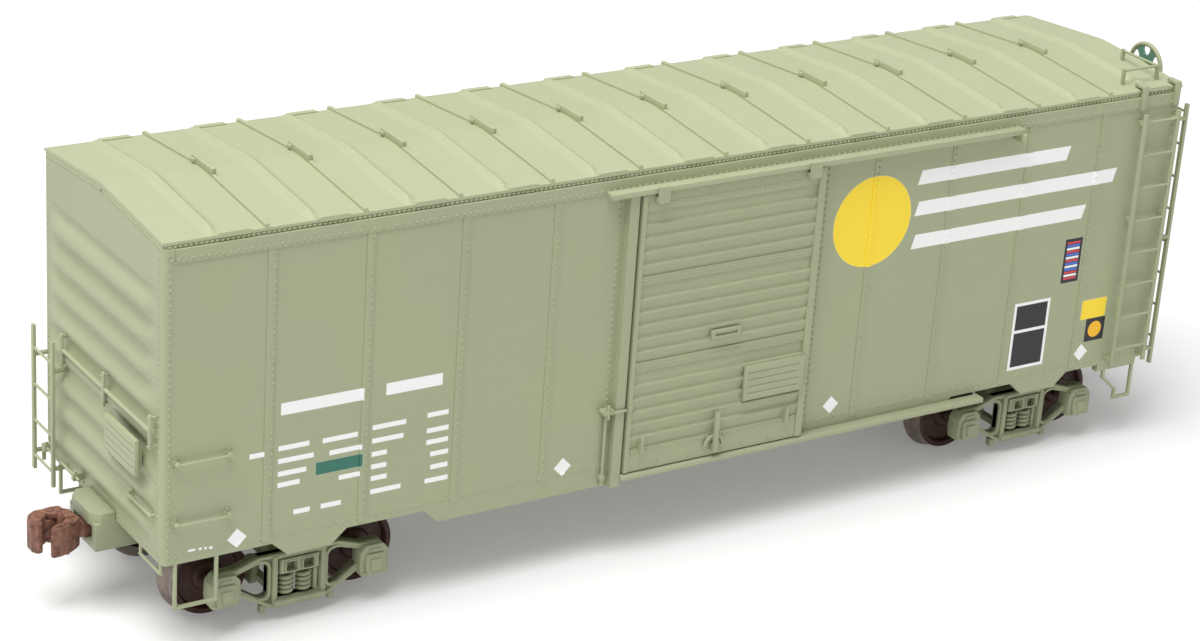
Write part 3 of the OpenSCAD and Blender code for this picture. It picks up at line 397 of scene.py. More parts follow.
def wheelMaterial(name, bare):
    material, tree, shader = startMaterial(name, metallic=0.85 if bare else 0.0, specular=0.25)
    place = addNode(tree, "ShaderNodeTexCoord").outputs["Object"]
    color = wheelLook["bare"] if bare else wheelLook["paint"]
    worn = remap(tree, noiseAt(tree, place, 700.0, 4.0, 0.6), 0.35, 0.7)
    tinted = mixColor(tree, worn, rgba(color), rgba([c * (0.62 if bare else 1.7) for c in color]))
    film = useGroup(tree, "film", Color=tinted, Cool=tinted, Drift=0.0, Speckle=0.15,
                    Rough=0.36 if bare else 0.42)
    plugFilm(tree, film, shader)
    addBump(tree, shader, film.outputs["Height"], 0.5, 0.00001)
    return material


def tealPaint():
    material, tree, shader = startMaterial("brakeTeal", specular=0.4)
    film = useGroup(tree, "film", Color=rgba((0.12, 0.27, 0.19)), Cool=rgba((0.16, 0.30, 0.20)), Drift=0.8,
                    Speckle=0.12, Rough=0.45)
    plugFilm(tree, film, shader)
    addBump(tree, shader, film.outputs["Height"], 0.5, 0.00001)
    return material


def plankDeck():
    # planks laid across the car, each with its own tone and a groove between
    material, tree, shader = startMaterial("plankDeck", specular=0.25)
    coord = addNode(tree, "ShaderNodeTexCoord").outputs["Object"]
    point = addNode(tree, "ShaderNodeSeparateXYZ")
    plug(tree, coord, point.inputs[0])
    along = calc(tree, "DIVIDE", point.outputs[0], 2.4 * mm)
    plank = calc(tree, "FLOOR", along)
    edge = calc(tree, "ABSOLUTE", calc(tree, "SUBTRACT", calc(tree, "FRACT", along), 0.5))
    groove = remap(tree, edge, 0.44, 0.49)
    tone = addNode(tree, "ShaderNodeTexWhiteNoise", noise_dimensions="1D")
    plug(tree, plank, tone.inputs["W"])
    mapping = addNode(tree, "ShaderNodeMapping")
    mapping.inputs["Scale"].default_value = (6.0, 1.0, 1.0)
    plug(tree, coord, mapping.inputs["Vector"])
    grain = noiseAt(tree, mapping.outputs[0], 900.0, 4.0, 0.65)
    color = mixColor(tree, tone.outputs["Value"], rgba((0.30, 0.30, 0.21)), rgba((0.37, 0.36, 0.25)))
    color = mixColor(tree, remap(tree, grain, 0.4, 0.7, 0.0, 0.35), color, rgba((0.20, 0.19, 0.13)))
    color = mixColor(tree, groove, color, rgba((0.07, 0.07, 0.05)))
    plug(tree, color, shader.inputs["Base Color"])
    plug(tree, remap(tree, grain, 0.3, 0.7, 0.55, 0.75), shader.inputs["Roughness"])
    addBump(tree, shader, calc(tree, "SUBTRACT", calc(tree, "MULTIPLY", grain, 0.3), groove), 0.8, 0.00008)
    return material


def plainSteel():
    material, tree, shader = startMaterial("plainSteel", metallic=1.0)
    film = useGroup(tree, "film", Color=rgba((0.48, 0.47, 0.45)), Cool=rgba((0.42, 0.42, 0.43)), Drift=0.6,
                    Speckle=0.2, Rough=0.34)
    plugFilm(tree, film, shader)
    addBump(tree, shader, film.outputs["Height"], 0.5, 0.00001)
    return material


# the roof copy of the sage paint is made lighter and the side and body copies darker: painted light on the
# roof, painted shade on the sides and ends
looks = {
    "side": sagePaint("sidePaintShaded", tone=0.93, marked=True),
    "body": sagePaint("bodyPaintShaded", tone=0.93),
    "roof": sagePaint("roofPaintLit", tone=1.03, drift=0.15, dust=0.06, grime=0.0),
    "door": sagePaint("doorPaint", tone=0.92),
    "truck": sagePaint("truckPaint", tone=0.84, dust=0.18, grime=0.30),
    "under": sagePaint("underPaint", tone=0.78, grime=0.25),
    "coupler": couplerPlastic(),
    "wheel": wheelMaterial("wheelPaint", False),
    "tread": wheelMaterial("bareTread", True),
    "teal": tealPaint(),
    "deck": plankDeck(),
    "steel": plainSteel(),
}
slotLooks = {
    "body_green": "body", "roof_green": "roof", "door_green": "door", "truck_green": "truck",
    "underframe_green": "under", "deck": "deck", "coupler": "coupler", "wheels": "wheel",
    "steel": "steel", "brake_teal": "teal",
}


def paintNode(node, look):
    mesh = frame["nodes"][node].data
    mesh.materials.clear()
    mesh.materials.append(looks[look])


for subpart in frame["record"]["subparts"]:
    paintNode(subpart["node"], slotLooks[subpart["material_slot"]])
for node in ("side_left", "side_right"):
    paintNode(node, "side")
print("materials built:", len(looks))


def finishPiece(name, bm, look, body, smoothAngle=40.0):
    bmesh.ops.recalc_face_normals(bm, faces=bm.faces)
    mesh = bpy.data.meshes.new(name)
    bm.to_mesh(mesh)
    bm.free()
    mesh.materials.append(looks[look])
    mesh.shade_smooth()
    mesh.set_sharp_from_angle(angle=math.radians(smoothAngle))
    piece = bpy.data.objects.new(name, mesh)
    scene.collection.objects.link(piece)
    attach(piece, body)
    return piece


def makeDome(radius, height):
    # a low round head on the XY plane
    bm = bmesh.new()
    bmesh.ops.create_uvsphere(bm, u_segments=6, v_segments=4, radius=radius)
    cut = bm.verts[:] + bm.edges[:] + bm.faces[:]
    bmesh.ops.bisect_plane(bm, geom=cut, plane_co=(0, 0, 0), plane_no=(0, 0, -1), clear_outer=True)
    bmesh.ops.scale(bm, vec=(1, 1, height / radius), verts=bm.verts)
    mesh = bpy.data.meshes.new("dome")
    bm.to_mesh(mesh)
    bm.free()
    return mesh


def stampAll(bm, stamp, points, outward):
    turn = Vector((0, 0, 1)).rotation_difference(Vector(outward)).to_matrix().to_4x4()
    for point in points:
        copy = stamp.copy()
        copy.transform(Matrix.Translation(point) @ turn)
        bm.from_mesh(copy)
        bpy.data.meshes.remove(copy)


def rowOf(start, end, pitch):
    start, end = Vector(start), Vector(end)
    count = max(1, round((end - start).length / pitch))
    return [start.lerp(end, i / count) for i in range(count + 1)]


def addBox(bm, low, high):
    low, high = Vector(low), Vector(high)
    made = bmesh.ops.create_cube(bm, size=1.0)
    bmesh.ops.scale(bm, vec=high - low, verts=made["verts"])
    bmesh.ops.translate(bm, vec=(low + high) / 2, verts=made["verts"])
    return made["verts"]


def addRod(bm, start, end, radius, segments=10):
    start, end = Vector(start), Vector(end)
    line = end - start
    turn = Vector((0, 0, 1)).rotation_difference(line).to_matrix().to_4x4()
    place = Matrix.Translation((start + end) / 2) @ turn
    bmesh.ops.create_cone(bm, cap_ends=True, segments=segments, radius1=radius, radius2=radius,
                          depth=line.length, matrix=place)


def onBothSides(name, body, look, build):
    # build draws the left side's piece; the right one is its half turn
    for side, turn in (("Left", Matrix.Identity(4)), ("Right", flip)):
        bm = bmesh.new()
        build(bm)
        bmesh.ops.transform(bm, matrix=turn, verts=bm.verts)
        finishPiece(name + side, bm, look, body[side])


def onBothEnds(name, build, node="", smoothAngle=40.0):
    # build draws the B end's piece; the A one is its half turn; node is the replaced node's name less its end
    for end, turn in (("a", flip), ("b", Matrix.Identity(4))):
        bm = bmesh.new()
        build(bm)
        bmesh.ops.transform(bm, matrix=turn, verts=bm.verts)
        piece = finishPiece(name + end.upper(), bm, "body", "car", smoothAngle)
        if node:
            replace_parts(piece, node + end)


def roundedOutline(points, radius, steps=4):
    # each corner of a closed outline becomes an arc; a point may carry its own radius as a third number
    made = []
    for i, given in enumerate(points):
        corner = Vector(given[:2])
        before = Vector(points[i - 1][:2]) - corner
        after = Vector(points[(i + 1) % len(points)][:2]) - corner
        half = before.angle(after) / 2
        own = given[2] if len(given) > 2 else radius
        reach = min(own / math.tan(half), 0.48 * before.length, 0.48 * after.length)
        own = reach * math.tan(half)
        if own < 0.01:
            made.append(corner)
            continue
        centre = corner + (before.normalized() + after.normalized()).normalized() * own / math.sin(half)
        start = corner + before.normalized() * reach - centre
        end = corner + after.normalized() * reach - centre
        made += [centre + start.lerp(end, k / steps).normalized() * own for k in range(steps + 1)]
    return made


def offsetOutline(points, distance):
    # moves a closed anticlockwise outline inwards
    made = []
    for i, point in enumerate(points):
        before = (point - points[i - 1]).normalized()
        after = (points[(i + 1) % len(points)] - point).normalized()
        left = Vector((-before.y - after.y, before.x + after.x)).normalized()
        made.append(point + left * distance / max(0.5, left.dot(Vector((-before.y, before.x)))))
    return made


def circleOutline(centre, radius, steps):
    return [Vector((centre[0] + radius * math.cos(k * math.tau / steps),
                    centre[1] + radius * math.sin(k * math.tau / steps))) for k in range(steps)]


def mirroredOutline(points):
    return [Vector((-point[0], point[1])) for point in reversed(points)]


def addPlate(bm, outlines, low, high, edge, place):
    # fills between closed outlines given in millimetres, thickens from low to high, and places the result
    curve = bpy.data.curves.new("plate", "CURVE")
    curve.dimensions = "2D"
    curve.fill_mode = "BOTH"
    curve.extrude = (high - low) / 2 - edge
    curve.bevel_depth = edge
    curve.bevel_resolution = 1
    curve.offset = -edge
    for points in outlines:
        spline = curve.splines.new("POLY")
        spline.points.add(len(points) - 1)
        for target, point in zip(spline.points, points):
            target.co = (point[0], point[1], 0.0, 1.0)
        spline.use_cyclic_u = True
    holder = bpy.data.objects.new("plate", curve)
    mesh = bpy.data.meshes.new_from_object(holder)
    mesh.transform(place @ Matrix.Scale(mm, 4) @ Matrix.Translation((0, 0, (low + high) / 2)))
    bm.from_mesh(mesh)
    bpy.data.objects.remove(holder)
    bpy.data.curves.remove(curve)
    bpy.data.meshes.remove(mesh)


def addBevelledBox(bm, low, high, edge):
    made = addBox(bm, low, high)
    edges = list({e for vert in made for e in vert.link_edges})
    bmesh.ops.bevel(bm, geom=edges, offset=edge, segments=2, affect="EDGES", profile=0.5, material=-1)


def boxMm(bm, low, high, edge=0.06):
    addBevelledBox(bm, Vector(low) * mm, Vector(high) * mm, edge * mm)


def rodMm(bm, start, end, radius, segments=12):
    addRod(bm, Vector(start) * mm, Vector(end) * mm, radius * mm, segments)


bodyOf = {node: body for body, nodes in frame["record"]["behaviour"]["bodies"].items() for node in nodes}
slotOf = {part["node"]: part["material_slot"] for part in frame["record"]["subparts"]}


def softenNode(node, edge):
    # the same shape with its sharp edges rounded, as a moulding has them
    bm = bmesh.new()
    bm.from_mesh(frame["nodes"][node].data)
    bmesh.ops.remove_doubles(bm, verts=bm.verts, dist=0.001 * mm)
    bmesh.ops.dissolve_limit(bm, angle_limit=math.radians(0.5), verts=bm.verts, edges=bm.edges)
    sharp = [e for e in bm.edges if len(e.link_faces) == 2 and e.calc_face_angle(0.0) > math.radians(35)]
    bmesh.ops.bevel(bm, geom=sharp, offset=edge * mm, segments=2, affect="EDGES", profile=0.5, material=-1,
                    clamp_overlap=True)
    piece = finishPiece(node + "Soft", bm, slotLooks[slotOf[node]], bodyOf[node], 50.0)
    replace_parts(piece, node)


# millimetres
softEdges = {
    "draft_boxes": 0.12, "sill_steps": 0.10, "ladders_a": 0.08, "ladders_b": 0.08, "tack_boards": 0.07,
    "brake_housing": 0.18, "brake_platform": 0.05, "upper_tracks": 0.08, "lower_tracks": 0.15,
    "door_fittings_left": 0.06, "door_fittings_right": 0.06,
    "truck_a_brakes": 0.10, "truck_b_brakes": 0.10, "truck_a_bolster": 0.12, "truck_b_bolster": 0.12,
    "air_reservoir": 0.12, "brake_cylinder": 0.12, "control_valve": 0.15, "brake_levers": 0.06,
}
for node, edge in softEdges.items():
    softenNode(node, edge)
print("edges softened")


# folded roof sheets with seam caps between them
roofing = {
    "panels": 12,
    "rise": 1.3 * mm,
    "overEave": 0.9 * mm,
    "sheet": 0.34 * mm,
    "overEnd": 0.3 * mm,
    "ridgeWidth": 0.7 * mm,
    "foldHeight": 0.50 * mm,
    "foldHalf": 0.55 * mm,
    "capWidth": 0.55 * mm,
    "capHeight": 0.34 * mm,
    "tabLength": 3.9 * mm,
    "tabWidth": 1.03 * mm,
    "tabOver": 0.08 * mm,
    "saddle": (0.28 * mm, 2.7 * mm, 0.85 * mm),
    "railIn": 0.14 * mm,
    "beadPitch": 0.62 * mm,
}


def roofRise(y):
    # height of the eave line over the straight top of the sides, up to the ridge
    return roofing["rise"] * max(0.0, 1 - abs(y) / car["roofHalf"])


def roofTop(y):
    # the upper side of the sheet, with a soft bend along the ridge
    half = car["roofHalf"]
    edgeHeight = car["eave"] + roofing["overEave"]
    bend = roofing["ridgeWidth"]
    across = math.sqrt(y * y + bend * bend) - bend * 0.45
    return edgeHeight + roofRise(min(half, max(0.0, across)))


# pressed ends with level ribs
ends = {
    "pitch": 3.757 * mm,
    "lowest": 15.7 * mm,
    "ribs": 8,
    "depth": 0.8 * mm,
    "plain": 0.28 * mm,
    "fade": 4.2 * mm,
    "corner": 0.75 * mm,
    "underRoof": 0.36 * mm,
    "cornerDrop": 0.54 * mm,
    "thickness": 1.22 * mm,
    "columns": 96,
    "rows": 190,
}


def smooth(value):
    value = min(1.0, max(0.0, value))
    return value * value * (3 - 2 * value)


def endFace(y, z):
    # how far the pressed end stands out from the plane of the corner posts
    top = ends["lowest"] + (ends["ribs"] - 0.5) * ends["pitch"]
    bottom = ends["lowest"] - 0.5 * ends["pitch"]
    wave = 0.5 + 0.5 * math.cos(math.tau * (z - ends["lowest"]) / ends["pitch"])
    wave = wave ** 0.85 if bottom < z < top else 0.0
    toCorner = smooth((abs(y) - (car["halfWidth"] - 0.9 * mm - ends["fade"])) / ends["fade"])
    level = ends["depth"] * wave
    plain = ends["plain"] * smooth((z - top) / (1.2 * mm))
    level = level * (1 - toCorner) + ends["plain"] * toCorner * smooth((z - car["sill"]) / (2.5 * mm))
    level = max(level, plain)
    near = abs(y) - (car["halfWidth"] - ends["corner"])
    if near > 0:
        level -= ends["corner"] * (1 - math.sqrt(max(0.0, 1 - (near / ends["corner"]) ** 2)))
    return level


def pressEnd(bm):
    bmesh.ops.create_grid(bm, x_segments=ends["columns"], y_segments=ends["rows"], size=0.5)
    half = car["halfWidth"]
    for vert in bm.verts:
        # columns close up towards the corners
        y = half * math.sin(math.pi * vert.co.x)
        # the sheet meets the roof's underside, and steps down to the side at the corner
        corner = smooth((abs(y) - half + 0.55 * mm) / (0.35 * mm))
        top = roofTop(y) - ends["underRoof"] - ends["cornerDrop"] * corner
        z = car["sill"] + (vert.co.y + 0.5) * (top - car["sill"])
        vert.co = Vector((car["halfLength"] + endFace(y, z), y, z))
    rim = [e for e in bm.edges if e.is_boundary]
    grown = bmesh.ops.extrude_edge_only(bm, edges=rim)
    for item in grown["geom"]:
        if isinstance(item, bmesh.types.BMVert):
            item.co.x = car["halfLength"] - ends["thickness"]
    bmesh.ops.holes_fill(bm, edges=[e for e in bm.edges if e.is_boundary], sides=0)


onBothEnds("pressedEnd", pressEnd, "end_", 50.0)
print("ends pressed")


def addStrip(bm, xLow, xHigh, yLow, yHigh, lift, depth, edge=0.0):
    # a bar across the roof that follows its slope: its top is lift above the sheet
    steps = 2 * max(1, round((yHigh - yLow) / (2.4 * mm)))      # an even count keeps a ring on the ridge
    rings = []
    for step in range(steps + 1):
        y = yLow + (yHigh - yLow) * step / steps
        top = roofTop(y) + lift
        corners = ((xLow, top - depth), (xHigh, top - depth), (xHigh, top - edge), (xHigh - edge, top),
                   (xLow + edge, top), (xLow, top - edge))
        rings.append([bm.verts.new((x, y, z)) for x, z in corners])
    for before, after in zip(rings, rings[1:]):
        for i in range(6):
            bm.faces.new((before[i - 1], before[i], after[i], after[i - 1]))
    bm.faces.new(rings[0])
    bm.faces.new(rings[-1])


def makeRoof():
    bm = bmesh.new()
    half, length = car["roofHalf"], car["halfLength"]
    pitch = 2 * length / roofing["panels"]
    # sheet with a soft fold in the middle of each panel
    bmesh.ops.create_grid(bm, x_segments=roofing["panels"] * 24, y_segments=44, size=0.5)
    for vert in bm.verts:
        # columns gather at the fold in the middle of each panel
        panel = min(roofing["panels"] - 1, math.floor((vert.co.x + 0.5) * roofing["panels"] + 1e-6))
        share = 2 * ((vert.co.x + 0.5) * roofing["panels"] - panel) - 1
        fromFold = abs(share) ** 1.8 * pitch / 2
        x = -length + (panel + 0.5) * pitch + math.copysign(fromFold, share)
        x *= 1 + roofing["overEnd"] / length
        y = vert.co.y * 2 * half
        fold = roofing["foldHeight"] * min(1.0, max(0.0, 1.3 - fromFold / roofing["foldHalf"]))
        fold *= smooth((half - abs(y)) / (1.6 * mm))
        edge = 0.12 * mm * smooth((abs(y) - half + 0.5 * mm) / (0.5 * mm))
        vert.co = Vector((x, y, roofTop(y) + fold - edge))
    bmesh.ops.solidify(bm, geom=bm.faces[:], thickness=roofing["sheet"])
    # the rail below the sheet
    rail = half - roofing["railIn"]
    under = roofing["sheet"] * 0.6
    addStrip(bm, -length + 0.02 * mm, length - 0.02 * mm, -rail, rail, -under, 0.9 * mm - under)
    for i in range(1, roofing["panels"]):
        x = -length + i * pitch
        capHalf, capEnd = roofing["capWidth"] / 2, half - 0.04 * mm
        addStrip(bm, x - capHalf, x + capHalf, -capEnd, capEnd, roofing["capHeight"], 0.5 * mm, 0.07 * mm)
        # saddle over the ridge, with a lug at one end
        wide, long, tall = roofing["saddle"]
        top = roofTop(0.0) + tall
        addBevelledBox(bm, (x - wide, -long, top - 0.9 * mm), (x + wide, long, top), 0.07 * mm)
        addBevelledBox(bm, (x - 0.5 * mm, long - 1.0 * mm, top - 0.75 * mm),
                       (x + 0.5 * mm, long - 0.2 * mm, top - 0.3 * mm), 0.06 * mm)
    for i in range(roofing["panels"]):
        x = -length + (i + 0.5) * pitch + 0.25 * mm
        outer = half + roofing["tabOver"]
        inner = outer - roofing["tabWidth"]
        for yLow, yHigh in ((-outer, -inner), (inner, outer)):
            addStrip(bm, x, x + roofing["tabLength"], yLow, yHigh, 0.13 * mm, 0.55 * mm, 0.10 * mm)
    piece = finishPiece("foldedRoof", bm, "roof", "car", 35.0)
    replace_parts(piece, "roof")


makeRoof()
print("roof folded")


rivets = {
    "radius": 0.22 * mm,
    "height": 0.15 * mm,
    "pitch": 0.88 * mm,
    "fineRadius": 0.19 * mm,
    "fineHeight": 0.17 * mm,
    "finePitch": 0.6 * mm,
    "beadRadius": 0.25 * mm,
    "beadHeight": 0.22 * mm,
    "seams": (23.3 * mm, 35.45 * mm, 47.6 * mm, 59.75 * mm),
    "lap": 0.10 * mm,
    "band": 0.15 * mm,
    "overSill": 1.0 * mm,
    "underEave": 2.1 * mm,
    "fromEnd": 0.65 * mm,
    "besideDoor": (2.4 * mm, 1.3 * mm),
    "doorRows": (2.6 * mm, 13.9 * mm, 25.2 * mm),
}
dome = makeDome(rivets["radius"], rivets["height"])
fineDome = makeDome(rivets["fineRadius"], rivets["fineHeight"])
bead = makeDome(rivets["beadRadius"], rivets["beadHeight"])


def sideRivets(bm):
    pitch = rivets["pitch"]
    face = -car["halfWidth"]
    low, high = car["sill"] + rivets["overSill"], car["eave"] - rivets["underEave"]
    edge = car["halfLength"] - rivets["fromEnd"]
    before, after = rivets["besideDoor"]
    rows = rowOf((-edge, face, low), (edge, face, low), pitch)
    for x in (-edge, edge, car["doorLeft"] - before, car["doorRight"] + after):
        rows += rowOf((x, face, low + pitch), (x, face, high), pitch)
    for seam in rivets["seams"]:
        for x in (-seam, seam):
            rows += rowOf((x, face - rivets["lap"], low + pitch), (x, face - rivets["lap"], high), pitch)
    clear = [p for p in rows if not car["doorLeft"] - 2.1 * mm < p.x < car["doorRight"] + 0.9 * mm]
    band, height = face - rivets["band"], car["eave"] - 1.15 * mm
    clear += rowOf((-edge, band, height), (edge, band, height), pitch)
    stampAll(bm, dome, clear, (0, -1, 0))


def roofEdgeRivets(bm):
    edge = car["halfLength"] - 0.6 * mm
    face = -car["roofHalf"] + roofing["railIn"]
    height = car["eave"] + 0.22 * mm
    stampAll(bm, bead, rowOf((-edge, face, height), (edge, face, height), roofing["beadPitch"]), (0, -1, 0))


def doorRivets(bm):
    face = -(car["halfWidth"] + 1.15 * mm)
    heights = [car["doorLow"] + lift for lift in rivets["doorRows"]] + [car["eave"] - 3.3 * mm]
    rows = []
    for height in heights:
        rows += rowOf((car["doorLeft"] + 0.9 * mm, face, height), (car["doorRight"] - 1.3 * mm, face, height),
                      rivets["finePitch"])
    stampAll(bm, fineDome, rows, (0, -1, 0))


def endRivets(bm):
    # drawn for the B end
    pitch = rivets["pitch"]
    edge = car["halfWidth"] - 1.0 * mm
    across = round(2 * edge / pitch)
    flat = [(-edge + i * 2 * edge / across, car["sill"] + 0.7 * mm) for i in range(across + 1)]
    tall = car["eave"] - car["sill"] - 2.5 * mm
    upward = round(tall / pitch)
    sloping = round(edge / roofing["beadPitch"])
    for y in (-edge, edge):
        flat += [(y, car["sill"] + 1.5 * mm + tall * i / upward) for i in range(upward + 1)]
        shares = [1 - i / sloping for i in range(sloping + 1)]
        flat += [(y * share, roofTop(y * share) - 0.9 * mm) for share in shares]
    points = [Vector((car["halfLength"] + endFace(y, z) - 0.02 * mm, y, z)) for y, z in flat]
    stampAll(bm, dome, points, (1, 0, 0))


carSides = {"Left": "car", "Right": "car"}
doorSides = {"Left": "door_left", "Right": "door_right"}
onBothSides("sideRivets", carSides, "side", sideRivets)
onBothSides("roofEdgeRivets", carSides, "roof", roofEdgeRivets)
onBothSides("doorRivets", doorSides, "door", doorRivets)
onBothEnds("endRivets", endRivets)
print("rivets set")


# millimetres, as the pieces below are too
smallParts = {
    "grabHeights": (16.9, 24.4),
    "grabInset": 1.4,
    "grabWidth": 6.4,
    "latchOut": 2.6,
    "latchHeight": 20.2,
    "doorBolts": (5.0, 9.5, 17.5, 21.5),
    "straps": (-9.4, 2.6),
    "railHeight": 28.1,
    "strapInset": 1.25,
    "strapReach": 1.7,
    "lowGrab": 17.58,
    "handholdDrop": 1.3,
    "stepBolts": (-14.2, -5.6),
    "stepOut": 1.1,
    "stepHeight": 13.9,
}


def addEyelet(bm, x, z, face):
    # a rod's flattened end with its bolt head, on the side sheet
    rodMm(bm, (x, face - 0.75, z), (x, face, z), 0.2)
    rodMm(bm, (x, face - 0.28, z), (x, face, z), 0.42)
    rodMm(bm, (x, face - 1.1, z), (x, face - 0.6, z), 0.3)
    for lift in (-0.55, 0.55):
        rodMm(bm, (x, face - 0.22, z + lift), (x, face, z + lift), 0.18, 6)


def sideSmallParts(bm):
    face = -car["halfWidth"] / mm
    left = -car["halfLength"] / mm + smallParts["grabInset"]
    for z in smallParts["grabHeights"]:
        for x in (left, left + smallParts["grabWidth"]):
            addEyelet(bm, x, z, face)
    # latch beside the door, with its rod down to the sill
    latch = car["doorLeft"] / mm - smallParts["latchOut"]
    middle = smallParts["latchHeight"]
    boxMm(bm, (latch - 0.7, face - 0.9, middle - 0.3), (latch + 0.7, face, middle + 0.3))
    for x in (latch - 0.5, latch + 0.5):
        rodMm(bm, (x, face - 1.15, middle), (x, face - 0.1, middle), 0.38)
    rodMm(bm, (latch, face - 1.0, middle - 0.9), (latch, face - 1.0, middle + 0.9), 0.2)
    rodMm(bm, (latch, face - 0.45, 10.2), (latch, face - 0.45, middle - 0.3), 0.2)
    rodMm(bm, (latch + 0.5, face - 1.3, middle), (latch + 2.3, face - 1.3, middle), 0.17)
    boxMm(bm, (latch - 0.35, face - 0.7, 10.9), (latch + 0.35, face, 11.6))


def doorSmallParts(bm):
    face = -(car["halfWidth"] / mm + 0.95)
    left = car["doorLeft"] / mm
    # eye that the latch hooks over, and bolts on the lower band
    middle = smallParts["latchHeight"]
    boxMm(bm, (left + 0.05, face - 0.5, middle - 0.4), (left + 0.6, face, middle + 0.4))
    z = car["doorLow"] / mm + 0.7
    for step in smallParts["doorBolts"]:
        rodMm(bm, (left + step, face - 0.3, z), (left + step, face, z), 0.16, 8)


onBothSides("sideSmallParts", carSides, "body", sideSmallParts)
onBothSides("doorSmallParts", doorSides, "door", doorSmallParts)


def strapPlaces():
    straps = smallParts["straps"] + (car["halfWidth"] / mm - smallParts["strapInset"],)
    height, reach = smallParts["railHeight"], smallParts["strapReach"]
    return [(y, z) for y in straps for z in (height - reach, height + reach)]


def endSmallParts(bm):
    # bolt heads on the straps and on the lowest step, drawn for the B end
    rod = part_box("end_rails_b")[1].x / mm
    face = car["halfLength"] / mm
    for y, z in strapPlaces():
        rodMm(bm, (rod - 0.1, y, z), (rod + 0.12, y, z), 0.16, 8)
    x, z = face + smallParts["stepOut"], smallParts["stepHeight"]
    for y in smallParts["stepBolts"]:
        rodMm(bm, (x, y, z), (x, y, z + 0.25), 0.2, 8)


def endRails(bm):
    # cross-over rail on flat straps, a low grab iron and the handhold under the end sill
    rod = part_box("end_rails_b")[1].x / mm - 0.3
    face = car["halfLength"] / mm
    width = car["halfWidth"] / mm
    height = smallParts["railHeight"]
    for y in smallParts["straps"] + (width - smallParts["strapInset"],):
        boxMm(bm, (rod - 0.05, y - 0.27, height - 2.1), (rod + 0.3, y + 0.27, height + 2.1), 0.1)
    for y, z in strapPlaces():
        rodMm(bm, (face + 0.1, y, z), (rod + 0.1, y, z), 0.17)
    rodMm(bm, (rod, smallParts["straps"][0] - 0.2, height), (rod, width - 1.05, height), 0.26)
    z = smallParts["lowGrab"]
    for y in (width - 7.95, width - 1.55):
        rodMm(bm, (face - 0.1, y, z), (rod - 0.2, y, z), 0.2)
        boxMm(bm, (face - 0.1, y - 0.3, z - 0.58), (face + 0.3, y + 0.3, z + 0.52), 0.08)
    rodMm(bm, (rod - 0.2, width - 8.15, z), (rod - 0.2, width - 1.35, z), 0.2)
    low = car["sill"] / mm - smallParts["handholdDrop"]
    for y in (width - 6.35, width - 0.95):
        rodMm(bm, (face - 0.2, y, low), (face - 0.2, y, low + 1.5), 0.2)
    rodMm(bm, (face - 0.2, width - 6.55, low), (face - 0.2, width - 0.75, low), 0.2)


onBothEnds("endRails", endRails, "end_rails_")
onBothEnds("endSmallParts", endSmallParts)
print("small parts set")


brakeWheel = {"radius": 3.3, "rim": 0.30, "spokes": 6, "plate": 0.28}


def makeBrakeWheel():
    low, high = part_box("brake_wheel")
    # the wheel's plane is Y-Z, so the outline's X and Y become Y and Z
    turn = Matrix(((0, 0, 1, 0), (1, 0, 0, 0), (0, 1, 0, 0), (0, 0, 0, 1)))
    hub = Vector((high.x - brakeWheel["rim"] * mm, (low.y + high.y) / 2, (low.z + high.z) / 2))
    place = Matrix.Translation(hub) @ turn
    bm = bmesh.new()
    holes = []
    for k in range(brakeWheel["spokes"]):
        angle = math.tau * (k + 0.5) / brakeWheel["spokes"]
        # egg-shaped opening, wide near the rim
        egg = []
        for step in range(14):
            t = step * math.tau / 14
            out = 2.18 + 0.66 * math.cos(t)
            wide = 0.62 * math.sin(t) * (1 + 0.30 * math.cos(t))
            egg.append(Vector((out * math.cos(angle) - wide * math.sin(angle),
                               out * math.sin(angle) + wide * math.cos(angle))))
        holes.append(egg)
    addPlate(bm, [circleOutline((0, 0), brakeWheel["radius"] - 0.2, 48)] + holes, -brakeWheel["plate"] / 2,
             brakeWheel["plate"] / 2, 0.06, place)
    for k in range(brakeWheel["spokes"]):
        angle = math.tau * k / brakeWheel["spokes"]
        start, end = [place @ (Vector((out * math.cos(angle), out * math.sin(angle), 0.16)) * mm)
                      for out in (0.5, 2.9)]
        addRod(bm, start, end, 0.14 * mm, 8)
    for low, high, radius, segments in ((-1.4, 0.42, 0.42, 16), (-0.2, 0.3, 0.8, 24)):
        addRod(bm, place @ Vector((0, 0, low * mm)), place @ Vector((0, 0, high * mm)), radius * mm, segments)
    plate = finishPiece("brakeWheelPlate", bm, "teal", "car", 40.0)
    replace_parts(plate, "brake_wheel")
    bm = bmesh.new()
    centre = place.translation
    outward = Matrix.Translation(centre + Vector((0, 0, (brakeWheel["radius"] - brakeWheel["rim"]) * mm)))
    ring = bmesh.ops.create_circle(bm, cap_ends=False, segments=12, radius=brakeWheel["rim"] * mm,
                                   matrix=outward @ Matrix.Rotation(math.pi / 2, 4, "X"))
    edges = list({edge for vert in ring["verts"] for edge in vert.link_edges})
    bmesh.ops.spin(bm, geom=ring["verts"] + edges, cent=centre, axis=(1, 0, 0), angle=math.tau, steps=64,
                   use_merge=True)
    finishPiece("brakeWheelRim", bm, "body", "car", 60.0)


makeBrakeWheel()
print("brake wheel made")


wheel = {
    "tread": 4.81 * mm,
    "flange": 0.65 * mm,
    "back": 7.225 * mm,
    "width": 2.8 * mm,
    "axle": 1.18 * mm,
    "steps": 64,
}


